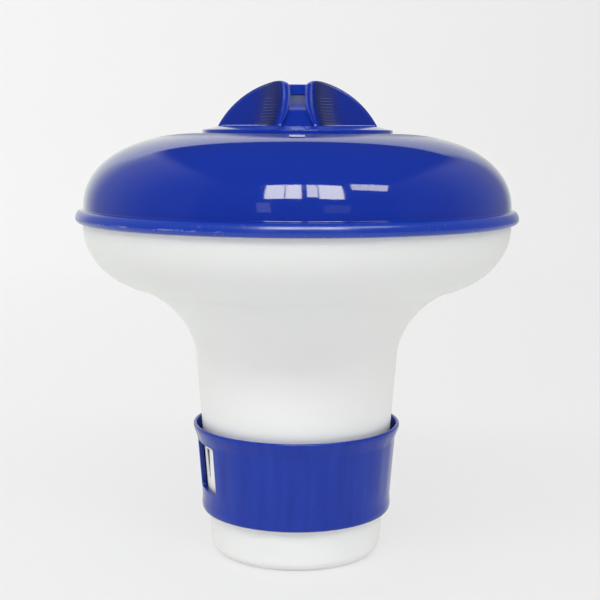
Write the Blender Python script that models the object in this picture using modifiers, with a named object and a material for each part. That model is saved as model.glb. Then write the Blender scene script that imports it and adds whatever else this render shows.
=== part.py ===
"""Floating chlorine dispenser, standing on the foot of its tablet tube.

All sizes are in metres, +Z is up, and the origin is the middle of the foot. Every turned piece shares the
vertical axis through the origin, and so do the lid's turn, the lid's lift and the flow ring's turn.
"""

import math

import bmesh
import bpy
from mathutils import Matrix

# Tablet tube
TUBE_RADIUS = 0.0244  # outside, where its side would meet the floor
TUBE_TAPER = 0.0796  # radius gained for each metre of height
TUBE_EDGE = 0.003  # rounding under the foot
NECK_HEIGHT = 0.058  # where the tube starts to flare out
SHELL_WALL = 0.0016  # wall of the white shell and of the dome
FLOOR_WALL = 0.002  # floor of the tube
FLOOR_CORNER = 0.0015  # inside corner of that floor

# Lower half of the float
FLOAT_RADIUS = 0.0604  # widest radius of the white shell
FLOAT_ROUND = 0.0209  # how far the side curls in before it lies flat
FLOAT_DEPTH = 0.0182  # height of that curl
FLARE_RISE = 0.0188  # from the start of the flare to the underside
FLARE_JOIN = 18.0  # degrees round the curl at which the flare meets it
FLARE_TOP_PULL = 0.007  # length of the flare's upper handle
FLARE_FOOT_PULL = 0.0096  # length of the flare's lower handle
RIM_RISE = 0.0022  # straight rim above the widest height

# Rolled rim that holds the two float halves together
BEAD_WALL = 0.0018  # outside the white rim
BEAD_ROOF = 0.001  # above the gasket
BEAD_LAP = 0.0013  # how far the rolled rim reaches down over the white rim
BEAD_UNDER = 0.0013  # rounding under the rolled rim
LIP_WALL = 0.0012  # locating lip inside the white rim
LIP_DROP = 0.001  # how far that lip reaches below the rolled rim
GASKET_HEIGHT = 0.0008

# Dome and the well that leads from the lid to the tube
DOME_RISE = 0.021  # from the rolled rim to the crown
DOME_FULLNESS = 2.2  # 2 makes its side an ellipse, and more makes its shoulder fuller
SKIRT_LAP = 0.002  # how far the well reaches down inside the neck
SKIRT_WALL = 0.0016
THROAT_LENGTH = 0.0052  # collar that the lid's lugs lock under
NECK_SEAL_SECTION = 0.0012  # radius of the seal's round section
TAB_WIDTH = 0.0041  # index tab in front of the lid
TAB_LENGTH = 0.0055
TAB_RADIUS = 0.0383  # from the axis to its outer end
TAB_DROP = 0.00025  # from the crown down to its flat top

# Lid
LID_LAP = 0.00215  # how far the lid's disc reaches past the seal groove
LID_EDGE = 0.0007  # thickness of the disc at its edge
LID_DISC = 0.0016  # thickness of the disc under the grip
SPIGOT_WALL = 0.0015
LID_SEAL_SECTION = 0.0009  # radius of the seal's round section
LUG_COUNT = 3
LUG_WIDTH = 0.008
LUG_REACH = 0.0017  # how far a lug stands out past the throat
LUG_HEIGHT = 0.0018
GRIP_RADIUS = 0.0255  # arc of the grip's outline
GRIP_CROWN = 0.0137  # height of that arc above the disc
GRIP_SHOULDER = 0.0065  # half width of the grip's flat top
GRIP_MARGIN = 0.0003  # flat of the disc beyond the ends of the grip
GRIP_ROOT = 0.0006  # how far the grip is sunk into the disc
BLADE_HALF = 0.0012  # half thickness of the grip at its ends
HUB_HALF = 0.008  # half depth of the grip's middle at the disc
HUB_TOP_HALF = 0.0052  # and at its top
RIDGE_FOOT = 0.0057  # half width between the lips of the scoops at the disc
RIDGE_TOP = 0.0037  # and at the top
CHANNEL_FOOT = 0.0033  # half width of the slot between the lips at the disc
CHANNEL_TOP = 0.0022  # and at the top
WEB_HALF = 0.0045  # half thickness of the web in the slot
BAR_HALF = 0.003  # half thickness of the bar that bridges the slot
BAR_HEIGHT = 0.0028
BAR_DROP = 0.0011  # from the top of the grip to the top of the bar
POCKET_HEIGHT = 0.0029  # sloped pocket below the bar
POCKET_HALF = 0.0012  # half thickness left between the pockets

# Flow ring
RING_BOTTOM = 0.0125  # height of its lower edge
RING_HEIGHT = 0.0253
RING_WALL = 0.0013
RING_LIP = 0.001  # flare of its upper edge
RING_LIP_HEIGHT = 0.0045
RING_LIP_ROUND = 0.0006
RING_BEAD = 0.00035  # bead round its lower edge
RING_BEAD_HEIGHT = 0.003
RIB_HEIGHT = 0.0035  # rib on the tube above the ring's lower edge, which keeps the ring on
RIB_REACH = 0.0005
RIB_WIDTH = 0.0012
WINDOW_COUNT = 2
WINDOW_AZIMUTH = -67.2  # degrees from the front, towards +X
WINDOW_WIDTH = 0.0123
WINDOW_HEIGHT = 0.0136
WINDOW_FOOT = 0.0069  # above the ring's lower edge

# Slits in the tube behind each window
SLIT_COUNT = 3
SLIT_AZIMUTH = -67.0  # degrees from the front to the first slit
SLIT_PITCH = 18.0  # degrees from slit to slit
SLIT_TOP_WIDTH = 0.0024
SLIT_FOOT_WIDTH = 0.001
SLIT_HEIGHT = 0.0078
SLIT_FOOT = 0.011  # above the ring's lower edge

# Clearances
FIT = 0.0003  # between pieces that rest on each other
SKIRT_FIT = 0.00045  # well in the neck
SPIGOT_FIT = 0.0004  # lid in the throat
LUG_SIDE_FIT = 0.0008  # each side of a lug in its way in
LUG_TIP_FIT = 0.0007  # lug to the well
LUG_TURN_FIT = 0.0006  # lug below the throat
RING_FIT = 0.00035  # flow ring round the tube

# Facets
STEPS = 48
CURVE_STEPS = 8
CORNER_STEPS = 3
SEAL_SIDES = 8
CUT_SPARE = 0.004  # how far a cutter reaches past what it cuts
MERGE = 1e-6  # points this close are one
SEAT_HALVINGS = 40  # steps in the search for the neck seal's seat

# Colours, 0 to 255
SHELL_WHITE = (236, 237, 236)
DOME_BLUE = (31, 55, 161)
LID_BLUE = (34, 54, 150)
RING_BLUE = (41, 65, 163)
SEAL_BLACK = (32, 33, 35)

# Surface roughness, 0 to 1
SHELL_ROUGHNESS = 0.4
DOME_ROUGHNESS = 0.15
LID_ROUGHNESS = 0.25
RING_ROUGHNESS = 0.35
SEAL_ROUGHNESS = 0.7


def tube_radius(height):
    return TUBE_RADIUS + TUBE_TAPER * height


# Heights and radii that follow from the sizes above
WIDEST_HEIGHT = NECK_HEIGHT + FLARE_RISE + FLOAT_DEPTH
RIM_TOP = WIDEST_HEIGHT + RIM_RISE
BEAD_BOTTOM = RIM_TOP - BEAD_LAP
GASKET_BOTTOM = RIM_TOP + FIT
CHANNEL_ROOF = GASKET_BOTTOM + GASKET_HEIGHT + FIT
BEAD_TOP = CHANNEL_ROOF + BEAD_ROOF
CROWN = BEAD_TOP + DOME_RISE
CHANNEL_OUTER = FLOAT_RADIUS + FIT
CHANNEL_INNER = FLOAT_RADIUS - SHELL_WALL - FIT
BEAD_OUTER = CHANNEL_OUTER + BEAD_WALL
LIP_INNER = CHANNEL_INNER - LIP_WALL
SKIRT_BOTTOM = NECK_HEIGHT - SKIRT_LAP
SKIRT_OUTER = tube_radius(SKIRT_BOTTOM) - SHELL_WALL - SKIRT_FIT
WELL_BORE = SKIRT_OUTER - SKIRT_WALL
LUG_OUTER = WELL_BORE - LUG_TIP_FIT
THROAT = LUG_OUTER - LUG_REACH
SPIGOT_OUTER = THROAT - SPIGOT_FIT
SPIGOT_INNER = SPIGOT_OUTER - SPIGOT_WALL
LID_SEAL_RADIUS = SPIGOT_OUTER + FIT + LID_SEAL_SECTION
GROOVE_OUTER = LID_SEAL_RADIUS + LID_SEAL_SECTION + FIT
LID_RADIUS = GROOVE_OUTER + LID_LAP

# Heights on the lid, from the crown of the dome
LID_UNDER = FIT
LID_SEAL_HEIGHT = LID_UNDER - FIT - LID_SEAL_SECTION
GROOVE_BOTTOM = LID_SEAL_HEIGHT - LID_SEAL_SECTION - FIT
THROAT_BOTTOM = GROOVE_BOTTOM - THROAT_LENGTH
LUG_TOP = THROAT_BOTTOM - LUG_TURN_FIT
SPIGOT_BOTTOM = LUG_TOP - LUG_HEIGHT
DISC_TOP = LID_UNDER + LID_DISC
GRIP_CENTRE = DISC_TOP + GRIP_CROWN - GRIP_RADIUS
GRIP_HALF = math.sqrt(GRIP_RADIUS**2 - (DISC_TOP - GRIP_CENTRE) ** 2)
GRIP_TOP = GRIP_CENTRE + math.sqrt(GRIP_RADIUS**2 - GRIP_SHOULDER**2)
BAR_TOP = GRIP_TOP - BAR_DROP
BAR_BOTTOM = BAR_TOP - BAR_HEIGHT
POCKET_BOTTOM = BAR_BOTTOM - POCKET_HEIGHT


# Points and profiles, as (radius, height)


def ellipse_arc(centre, radii, start, end, count):
    """Points on an ellipse from start to end, in degrees, with both ends."""
    points = []
    for i in range(count + 1):
        angle = math.radians(start + (end - start) * i / count)
        points.append((centre[0] + radii[0] * math.cos(angle), centre[1] + radii[1] * math.sin(angle)))
    return points


def dome_arc(centre, radii, start, end, count):
    """Points on the dome's side from start to end, in degrees, with both ends."""
    points = []
    for i in range(count + 1):
        angle = math.radians(start + (end - start) * i / count)
        across = math.cos(angle) ** (2 / DOME_FULLNESS)
        up = math.sin(angle) ** (2 / DOME_FULLNESS)
        points.append((centre[0] + radii[0] * across, centre[1] + radii[1] * up))
    return points


def dome_angle(reach, width):
    """Where on the dome's side, in degrees, it has a reach out from its centre."""
    return math.degrees(math.acos((max(0, reach) / width) ** (DOME_FULLNESS / 2)))


def bezier(a, b, c, d, count):
    points = []
    for i in range(count + 1):
        t = i / count
        weights = ((1 - t) ** 3, 3 * t * (1 - t) ** 2, 3 * t * t * (1 - t), t**3)
        points.append(tuple(sum(w * p[k] for w, p in zip(weights, (a, b, c, d))) for k in (0, 1)))
    return points


def offset_inwards(points, distance):
    """A line that runs down an outer side, moved towards the axis by a wall's thickness."""
    moved = []
    for i, (radius, height) in enumerate(points):
        before = points[max(i - 1, 0)]
        after = points[min(i + 1, len(points) - 1)]
        along = (after[0] - before[0], after[1] - before[1])
        length = math.hypot(*along)
        moved.append((radius + distance * along[1] / length, height - distance * along[0] / length))
    return moved


def float_side():
    """Outer side of the white shell from the rim down to the start of the tube."""
    curl = ellipse_arc(
        (FLOAT_RADIUS - FLOAT_ROUND, WIDEST_HEIGHT),
        (FLOAT_ROUND, FLOAT_DEPTH),
        0,
        FLARE_JOIN - 90,
        CURVE_STEPS,
    )
    join = curl[-1]
    turn = math.radians(FLARE_JOIN)
    slope = (-FLOAT_ROUND * math.cos(turn), -FLOAT_DEPTH * math.sin(turn))
    reach = FLARE_TOP_PULL / math.hypot(*slope)
    foot = (tube_radius(NECK_HEIGHT), NECK_HEIGHT)
    upper = (join[0] + slope[0] * reach, join[1] + slope[1] * reach)
    lower = (foot[0] + TUBE_TAPER * FLARE_FOOT_PULL, foot[1] + FLARE_FOOT_PULL)
    flare = bezier(join, upper, lower, foot, CURVE_STEPS)
    return [(FLOAT_RADIUS, RIM_TOP)] + curl + flare[1:]


def rib_points():
    middle = RING_BOTTOM + RIB_HEIGHT
    top = middle + RIB_WIDTH / 2
    bottom = middle - RIB_WIDTH / 2
    return [
        (tube_radius(top), top),
        (tube_radius(middle) + RIB_REACH, middle),
        (tube_radius(bottom), bottom),
    ]


def shell_profile():
    outer = float_side()
    inner = offset_inwards(outer, SHELL_WALL)
    inner[0] = (FLOAT_RADIUS - SHELL_WALL, RIM_TOP)
    corner = FLOOR_WALL + FLOOR_CORNER
    corner_radius = tube_radius(corner) - SHELL_WALL
    floor = [(0, FLOOR_WALL), (corner_radius - FLOOR_CORNER, FLOOR_WALL), (corner_radius, corner)]
    edge_centre = (tube_radius(TUBE_EDGE) - TUBE_EDGE, TUBE_EDGE)
    foot = ellipse_arc(edge_centre, (TUBE_EDGE, TUBE_EDGE), 0, -90, CORNER_STEPS)
    return floor + inner[::-1] + outer + rib_points() + foot + [(0, 0)]


def dome_profile():
    centre = (LID_RADIUS, BEAD_TOP)
    radii = (FLOAT_RADIUS - LID_RADIUS, DOME_RISE)
    inner_radii = (radii[0] - SHELL_WALL, radii[1] - SHELL_WALL)
    bead_middle = BEAD_BOTTOM + BEAD_UNDER
    outer = dome_arc(centre, radii, 90, 0, CURVE_STEPS)
    bead_radii = (BEAD_OUTER - FLOAT_RADIUS, BEAD_TOP - bead_middle)
    bead = ellipse_arc((FLOAT_RADIUS, bead_middle), bead_radii, 90, 0, CORNER_STEPS)
    under = ellipse_arc(
        (BEAD_OUTER - BEAD_UNDER, bead_middle), (BEAD_UNDER, BEAD_UNDER), 0, -90, CORNER_STEPS
    )
    channel = [
        (CHANNEL_OUTER, BEAD_BOTTOM),
        (CHANNEL_OUTER, CHANNEL_ROOF),
        (CHANNEL_INNER, CHANNEL_ROOF),
        (CHANNEL_INNER, BEAD_BOTTOM - LIP_DROP),
        (LIP_INNER, BEAD_BOTTOM - LIP_DROP),
    ]
    first = dome_angle(LIP_INNER - LID_RADIUS, inner_radii[0])
    last = dome_angle(SKIRT_OUTER - LID_RADIUS, inner_radii[0])
    inner = dome_arc(centre, inner_radii, first, last, CURVE_STEPS)
    well = [
        (SKIRT_OUTER, SKIRT_BOTTOM),
        (WELL_BORE, SKIRT_BOTTOM),
        (WELL_BORE, CROWN + THROAT_BOTTOM),
        (THROAT, CROWN + THROAT_BOTTOM),
        (THROAT, CROWN + GROOVE_BOTTOM),
        (GROOVE_OUTER, CROWN + GROOVE_BOTTOM),
        (GROOVE_OUTER, CROWN),
    ]
    return outer + bead[1:] + under[1:] + channel + inner + well


def gasket_profile():
    inner = FLOAT_RADIUS - SHELL_WALL
    top = GASKET_BOTTOM + GASKET_HEIGHT
    return [(FLOAT_RADIUS, top), (FLOAT_RADIUS, GASKET_BOTTOM), (inner, GASKET_BOTTOM), (inner, top)]


def seal_profile(radius, height, section):
    return ellipse_arc((radius, height), (section, section), 0, -360, SEAL_SIDES)[:-1]


def distance_to_line(point, line):
    nearest = math.inf
    for a, b in zip(line, line[1:]):
        along = (b[0] - a[0], b[1] - a[1])
        away = (point[0] - a[0], point[1] - a[1])
        share = (away[0] * along[0] + away[1] * along[1]) / (along[0] ** 2 + along[1] ** 2)
        share = min(max(share, 0), 1)
        nearest = min(nearest, math.hypot(away[0] - share * along[0], away[1] - share * along[1]))
    return nearest


def neck_seal_height(radius):
    """Height at which the seal, pushed down round the well, meets the flare of the neck."""
    wall = offset_inwards(float_side(), SHELL_WALL)
    low = NECK_HEIGHT
    high = WIDEST_HEIGHT - FLOAT_DEPTH
    for _ in range(SEAT_HALVINGS):
        middle = (low + high) / 2
        if distance_to_line((radius, middle), wall) < NECK_SEAL_SECTION + FIT:
            low = middle
        else:
            high = middle
    return high


def lid_profile():
    flat = GRIP_HALF + GRIP_MARGIN
    disc_under = DISC_TOP - SPIGOT_WALL
    return [
        (0, DISC_TOP),
        (flat, DISC_TOP),
        (LID_RADIUS, LID_UNDER + LID_EDGE),
        (LID_RADIUS, LID_UNDER),
        (SPIGOT_OUTER, LID_UNDER),
        (SPIGOT_OUTER, SPIGOT_BOTTOM),
        (SPIGOT_INNER, SPIGOT_BOTTOM),
        (SPIGOT_INNER, disc_under),
        (0, disc_under),
    ]


def ring_inner(height):
    return tube_radius(RING_BOTTOM + height) + RING_FIT


def ring_outer(height):
    return ring_inner(height) + RING_WALL


def ring_profile():
    lip = ring_outer(RING_HEIGHT) + RING_LIP
    lip_foot = RING_HEIGHT - RING_LIP_HEIGHT
    round_height = RING_HEIGHT - RING_LIP_ROUND
    bead_middle = RING_BEAD_HEIGHT / 2
    groove_top = RIB_HEIGHT + RIB_WIDTH / 2 + FIT
    groove_foot = RIB_HEIGHT - RIB_WIDTH / 2 - FIT
    groove = tube_radius(RING_BOTTOM + RIB_HEIGHT) + RIB_REACH + FIT
    return [
        (ring_inner(RING_HEIGHT), RING_HEIGHT),
        (lip - RING_LIP_ROUND, RING_HEIGHT),
        (lip, round_height),
        (ring_outer(lip_foot), lip_foot),
        (ring_outer(RING_BEAD_HEIGHT), RING_BEAD_HEIGHT),
        (ring_outer(bead_middle) + RING_BEAD, bead_middle),
        (ring_outer(0), 0),
        (ring_inner(0), 0),
        (ring_inner(groove_foot), groove_foot),
        (groove, groove_foot),
        (groove, groove_top),
        (ring_inner(groove_top), groove_top),
    ]


# Blender objects


def linear_colour(rgb):
    return [(c / 255 / 12.92 if c < 11 else ((c / 255 + 0.055) / 1.055) ** 2.4) for c in rgb] + [1]


def plastic(name, rgb, roughness):
    material = bpy.data.materials.new(name)
    material.use_nodes = True
    shader = material.node_tree.nodes["Principled BSDF"]
    shader.inputs["Base Color"].default_value = linear_colour(rgb)
    shader.inputs["Roughness"].default_value = roughness
    shader.inputs["Metallic"].default_value = 0
    material.diffuse_color = linear_colour(rgb)
    return material


def new_collection(name):
    collection = bpy.data.collections.new(name)
    bpy.context.scene.collection.children.link(collection)
    return collection


def add_object(name, mesh, collection):
    obj = bpy.data.objects.new(name, mesh)
    collection.objects.link(obj)
    return obj


def helper(obj):
    """Marks a shape that only cuts or joins another."""
    obj.hide_render = True
    obj.display_type = "WIRE"
    return obj


def turned(name, profile, collection, closed=True):
    """A profile turned round the vertical axis. A profile that is not closed starts and ends on the axis."""
    edges = [(i, i + 1) for i in range(len(profile) - 1)]
    if closed:
        edges.append((len(profile) - 1, 0))
    mesh = bpy.data.meshes.new(name)
    mesh.from_pydata([(radius, 0, height) for radius, height in profile], edges, [])
    obj = add_object(name, mesh, collection)
    screw = obj.modifiers.new("turn", "SCREW")
    screw.axis = "Z"
    screw.steps = STEPS
    screw.render_steps = STEPS
    screw.use_merge_vertices = True
    screw.merge_threshold = MERGE
    screw.use_smooth_shade = True
    return obj


def box(name, low, high, collection):
    """A block between two corners."""
    mesh = bpy.data.meshes.new(name)
    shape = bmesh.new()
    bmesh.ops.create_cube(shape, size=1)
    for vertex in shape.verts:
        vertex.co = [low[k] + (vertex.co[k] + 0.5) * (high[k] - low[k]) for k in range(3)]
    shape.to_mesh(mesh)
    shape.free()
    return helper(add_object(name, mesh, collection))


def prism(name, outline, half_depth, matrix, collection):
    """A flat outline given a depth, then placed by a matrix."""
    curve = bpy.data.curves.new(name, "CURVE")
    curve.dimensions = "2D"
    curve.fill_mode = "BOTH"
    curve.extrude = half_depth
    spline = curve.splines.new("POLY")
    spline.points.add(len(outline) - 1)
    for point, (x, y) in zip(spline.points, outline):
        point.co = (x, y, 0, 1)
    spline.use_cyclic_u = True
    flat = add_object(name + "_outline", curve, collection)
    graph = bpy.context.evaluated_depsgraph_get()
    mesh = bpy.data.meshes.new_from_object(flat.evaluated_get(graph))
    bpy.data.objects.remove(flat)
    shape = bmesh.new()
    shape.from_mesh(mesh)
    bmesh.ops.remove_doubles(shape, verts=shape.verts, dist=MERGE)
    bmesh.ops.transform(shape, matrix=matrix, verts=shape.verts)
    bmesh.ops.recalc_face_normals(shape, faces=shape.faces)
    shape.to_mesh(mesh)
    shape.free()
    mesh.name = name
    return helper(add_object(name, mesh, collection))


def cylinder(name, radius, height, collection):
    mesh = bpy.data.meshes.new(name)
    shape = bmesh.new()
    bmesh.ops.create_cone(
        shape, cap_ends=True, segments=STEPS, radius1=radius, radius2=radius, depth=height
    )
    shape.to_mesh(mesh)
    shape.free()
    return helper(add_object(name, mesh, collection))


def cut(obj, other):
    modifier = obj.modifiers.new(other.name, "BOOLEAN")
    modifier.operation = "DIFFERENCE"
    modifier.object = other


def join(obj, other):
    modifier = obj.modifiers.new(other.name, "BOOLEAN")
    modifier.operation = "UNION"
    modifier.object = other


def turn_to(obj, azimuth):
    """Turns a shape made at the front, at -Y, by an azimuth towards +X."""
    obj.rotation_euler.z = math.radians(azimuth)


# Pieces


def make_body_shell(parts, cutters):
    shell = turned("body_shell", shell_profile(), parts, closed=False)
    foot = RING_BOTTOM + SLIT_FOOT
    top = foot + SLIT_HEIGHT
    for side in range(WINDOW_COUNT):
        for i in range(SLIT_COUNT):
            slit = box(
                f"slit_{side}_{i}",
                (-SLIT_TOP_WIDTH / 2, -tube_radius(top) - CUT_SPARE, foot),
                (SLIT_TOP_WIDTH / 2, -tube_radius(foot) + SHELL_WALL + CUT_SPARE, top),
                cutters,
            )
            for vertex in slit.data.vertices:
                if vertex.co.z < (foot + top) / 2:
                    vertex.co.x *= SLIT_FOOT_WIDTH / SLIT_TOP_WIDTH
            turn_to(slit, SLIT_AZIMUTH + SLIT_PITCH * i + 360 / WINDOW_COUNT * side)
            cut(shell, slit)
    shell.data.materials.append(plastic("white shell", SHELL_WHITE, SHELL_ROUGHNESS))
    return shell


def make_float_dome(parts, cutters):
    dome = turned("float_dome", dome_profile(), parts)
    half_way = LUG_WIDTH / 2 + LUG_SIDE_FIT
    for i in range(LUG_COUNT):
        way_in = box(
            f"lug_way_{i}",
            (-half_way, -LUG_OUTER - FIT, CROWN + THROAT_BOTTOM - CUT_SPARE),
            (half_way, -THROAT + CUT_SPARE, CROWN + GROOVE_BOTTOM + LID_SEAL_SECTION),
            cutters,
        )
        turn_to(way_in, 360 / LUG_COUNT * i)
        cut(dome, way_in)
    tab = box(
        "tab",
        (-TAB_WIDTH / 2, -TAB_RADIUS, CROWN - SHELL_WALL),
        (TAB_WIDTH / 2, TAB_LENGTH - TAB_RADIUS, CROWN - TAB_DROP),
        cutters,
    )
    join(dome, tab)
    dome.data.materials.append(plastic("dome blue", DOME_BLUE, DOME_ROUGHNESS))
    return dome


def make_rim_gasket(parts):
    gasket = turned("rim_gasket", gasket_profile(), parts)
    gasket.data.materials.append(plastic("gasket rubber", SEAL_BLACK, SEAL_ROUGHNESS))
    return gasket


def make_neck_seal(parts):
    radius = SKIRT_OUTER + FIT + NECK_SEAL_SECTION
    seal = turned("neck_seal", seal_profile(radius, neck_seal_height(radius), NECK_SEAL_SECTION), parts)
    seal.data.materials.append(plastic("neck seal rubber", SEAL_BLACK, SEAL_ROUGHNESS))
    return seal


def make_lid_seal(parts):
    seal = turned("lid_seal", seal_profile(LID_SEAL_RADIUS, LID_SEAL_HEIGHT, LID_SEAL_SECTION), parts)
    seal.location.z = CROWN
    seal.data.materials.append(plastic("lid seal rubber", SEAL_BLACK, SEAL_ROUGHNESS))
    return seal


def grip_outline():
    """Seen from the front: an arc up from each end of the grip to its flat top."""
    end = math.degrees(math.asin((DISC_TOP - GRIP_CENTRE) / GRIP_RADIUS))
    shoulder = math.degrees(math.acos(GRIP_SHOULDER / GRIP_RADIUS))
    centre = (0, GRIP_CENTRE)
    radii = (GRIP_RADIUS, GRIP_RADIUS)
    right = ellipse_arc(centre, radii, end, shoulder, CURVE_STEPS)
    left = ellipse_arc(centre, radii, 180 - shoulder, 180 - end, CURVE_STEPS)
    root = DISC_TOP - GRIP_ROOT
    return [(GRIP_HALF, root)] + right + left + [(-GRIP_HALF, root)]


def channel_outline(side):
    """Seen from the side: what is taken out between the lips, down to the web, the pocket and the bar."""
    outside = HUB_HALF + CUT_SPARE
    above = GRIP_TOP + CUT_SPARE
    points = [
        (WEB_HALF, DISC_TOP),
        (WEB_HALF, POCKET_BOTTOM),
        (POCKET_HALF, BAR_BOTTOM),
        (BAR_HALF, BAR_BOTTOM),
        (BAR_HALF, above),
        (outside, above),
        (outside, DISC_TOP),
    ]
    return [(side * depth, height) for depth, height in points]


def make_grip(cutters):
    upright = Matrix.Rotation(math.pi / 2, 4, "X")
    sideways = Matrix.Rotation(math.pi / 2, 4, "Z") @ upright
    rise = GRIP_TOP - DISC_TOP
    grip = prism("grip", grip_outline(), HUB_HALF, upright, cutters)
    for vertex in grip.data.vertices:
        share = max(0, vertex.co.z - DISC_TOP) / rise
        vertex.co.y *= 1 + share * (HUB_TOP_HALF / HUB_HALF - 1)
    grip.location.z = CROWN

    lean = math.atan((RIDGE_FOOT - RIDGE_TOP) / rise)
    depth = HUB_HALF - BLADE_HALF
    scoop_radius = ((GRIP_HALF - RIDGE_FOOT) ** 2 + depth**2) / (2 * depth)
    scoop_length = 2 * (rise + CUT_SPARE)
    for x_side in (-1, 1):
        for y_side in (-1, 1):
            scoop = cylinder(f"scoop_{x_side}_{y_side}", scoop_radius, scoop_length, cutters)
            scoop.location = (x_side * GRIP_HALF, y_side * (BLADE_HALF + scoop_radius), CROWN + DISC_TOP)
            scoop.rotation_euler.y = -x_side * lean
            cut(grip, scoop)
    for y_side in (-1, 1):
        channel = prism(f"channel_{y_side}", channel_outline(y_side), CHANNEL_FOOT, sideways, cutters)
        for vertex in channel.data.vertices:
            share = (vertex.co.z - DISC_TOP) / rise
            vertex.co.x *= 1 + share * (CHANNEL_TOP / CHANNEL_FOOT - 1)
        channel.location.z = CROWN
        cut(grip, channel)
    above_bar = box(
        "above_bar",
        (-CHANNEL_TOP, -HUB_HALF - CUT_SPARE, CROWN + BAR_TOP),
        (CHANNEL_TOP, HUB_HALF + CUT_SPARE, CROWN + GRIP_TOP + CUT_SPARE),
        cutters,
    )
    cut(grip, above_bar)
    return grip


def make_lid(parts, cutters):
    lid = turned("lid", lid_profile(), parts, closed=False)
    lid.location.z = CROWN
    for i in range(LUG_COUNT):
        lug = box(
            f"lug_{i}",
            (-LUG_WIDTH / 2, -LUG_OUTER, CROWN + SPIGOT_BOTTOM),
            (LUG_WIDTH / 2, -SPIGOT_OUTER + SPIGOT_WALL / 2, CROWN + LUG_TOP),
            cutters,
        )
        turn_to(lug, 360 / LUG_COUNT * i)
        join(lid, lug)
    join(lid, make_grip(cutters))
    lid.data.materials.append(plastic("lid blue", LID_BLUE, LID_ROUGHNESS))
    return lid


def make_flow_ring(parts, cutters):
    ring = turned("flow_ring", ring_profile(), parts)
    ring.location.z = RING_BOTTOM
    foot = RING_BOTTOM + WINDOW_FOOT
    middle = WINDOW_FOOT + WINDOW_HEIGHT / 2
    for i in range(WINDOW_COUNT):
        window = box(
            f"window_{i}",
            (-WINDOW_WIDTH / 2, -ring_outer(middle) - CUT_SPARE, foot),
            (WINDOW_WIDTH / 2, -ring_inner(middle) + CUT_SPARE, foot + WINDOW_HEIGHT),
            cutters,
        )
        turn_to(window, WINDOW_AZIMUTH + 360 / WINDOW_COUNT * i)
        cut(ring, window)
    ring.data.materials.append(plastic("ring blue", RING_BLUE, RING_ROUGHNESS))
    return ring


def main():
    for obj in list(bpy.data.objects):
        bpy.data.objects.remove(obj)
    parts = new_collection("floating_chlorine_dispenser")
    cutters = new_collection("cutters")
    make_body_shell(parts, cutters)
    make_float_dome(parts, cutters)
    make_rim_gasket(parts)
    make_neck_seal(parts)
    make_lid_seal(parts)
    make_lid(parts, cutters)
    make_flow_ring(parts, cutters)


main()
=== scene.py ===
"""Looks of a floating chlorine dispenser: its skins, finishes, light and camera.

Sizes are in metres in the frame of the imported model. +Z is up the axis that the round pieces share,
-Y faces the front and +X runs along the lid's grip.
"""

import math

import bmesh
import bpy
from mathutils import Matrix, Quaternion, Vector


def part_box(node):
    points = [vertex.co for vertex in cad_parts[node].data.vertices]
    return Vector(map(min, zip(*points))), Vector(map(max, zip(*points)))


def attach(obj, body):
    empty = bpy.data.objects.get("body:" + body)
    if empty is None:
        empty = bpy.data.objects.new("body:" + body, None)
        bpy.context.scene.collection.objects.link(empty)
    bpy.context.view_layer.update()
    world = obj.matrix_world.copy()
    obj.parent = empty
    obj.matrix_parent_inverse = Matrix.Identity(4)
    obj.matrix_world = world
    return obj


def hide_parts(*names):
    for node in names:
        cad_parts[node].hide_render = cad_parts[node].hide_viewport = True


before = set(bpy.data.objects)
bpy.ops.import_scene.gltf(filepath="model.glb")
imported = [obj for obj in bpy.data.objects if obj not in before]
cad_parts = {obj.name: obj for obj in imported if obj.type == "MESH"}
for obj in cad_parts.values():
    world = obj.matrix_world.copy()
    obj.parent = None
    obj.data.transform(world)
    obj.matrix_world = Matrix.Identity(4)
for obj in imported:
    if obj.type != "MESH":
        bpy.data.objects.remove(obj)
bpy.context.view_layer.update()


# Colours


def linear(level):
    """A level written as it looks on a screen, 0 to 255, taken off the curve that screens use."""
    share = level / 255
    if level < 11:
        return share / 12.92
    return ((share + 0.055) / 1.055) ** 2.4


def colour(red, green, blue):
    """A colour written as it looks on a screen, for a shader."""
    return (linear(red), linear(green), linear(blue), 1)


# Sizes

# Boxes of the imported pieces
SHELL_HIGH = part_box("body_shell")[1]
DOME_LOW, DOME_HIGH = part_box("float_dome")
LID_LOW, LID_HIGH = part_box("lid")
RING_LOW, RING_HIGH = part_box("flow_ring")
LID_SEAL_LOW, LID_SEAL_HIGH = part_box("lid_seal")
NECK_SEAL_LOW, NECK_SEAL_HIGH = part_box("neck_seal")
GASKET_LOW, GASKET_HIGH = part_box("rim_gasket")

# Clearances
FIT = 0.0003  # between pieces that rest on each other
SPIGOT_FIT = 0.0004  # lid in the throat
LUG_SIDE_FIT = 0.0008  # each side of a lug in its way in
LUG_TIP_FIT = 0.0007  # lug to the well
RING_FIT = 0.00035  # flow ring round the tube

# White body
RIM_RADIUS = SHELL_HIGH.x
RIM_TOP = SHELL_HIGH.z
RIM_RISE = 0.0022  # straight rim above the widest height
CURL_WIDTH = 0.0209  # how far the side curls in before it lies flat
CURL_DEPTH = 0.0182  # height of that curl
FLARE_JOIN = 18.0  # degrees short of the curl's foot at which the flare meets it
FLARE_TOP_PULL = 0.007  # how far the flare's curve is pulled along the curl
FLARE_FOOT_PULL = 0.0096  # and along the tube
NECK_HEIGHT = 0.058
TUBE_FOOT = 0.0244  # radius where the tube's side would meet the floor
TUBE_TAPER = 0.0796  # radius gained for each metre of height
TUBE_EDGE = 0.003  # rounding under the foot
FOOT_SHADOW_LINE = 0.0005  # height of the grey line of painted contact shadow round the foot
SHELL_WALL = 0.0016
FLOOR_WALL = 0.002
FLOOR_CORNER = 0.0015
GATE_RADIUS = 0.0036  # dimple of the moulding gate under the foot
GATE_DEPTH = 0.0004
GATE_SLOPE = 0.0004
GATE_STUB = 0.0009  # radius of the stub left in it
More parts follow.
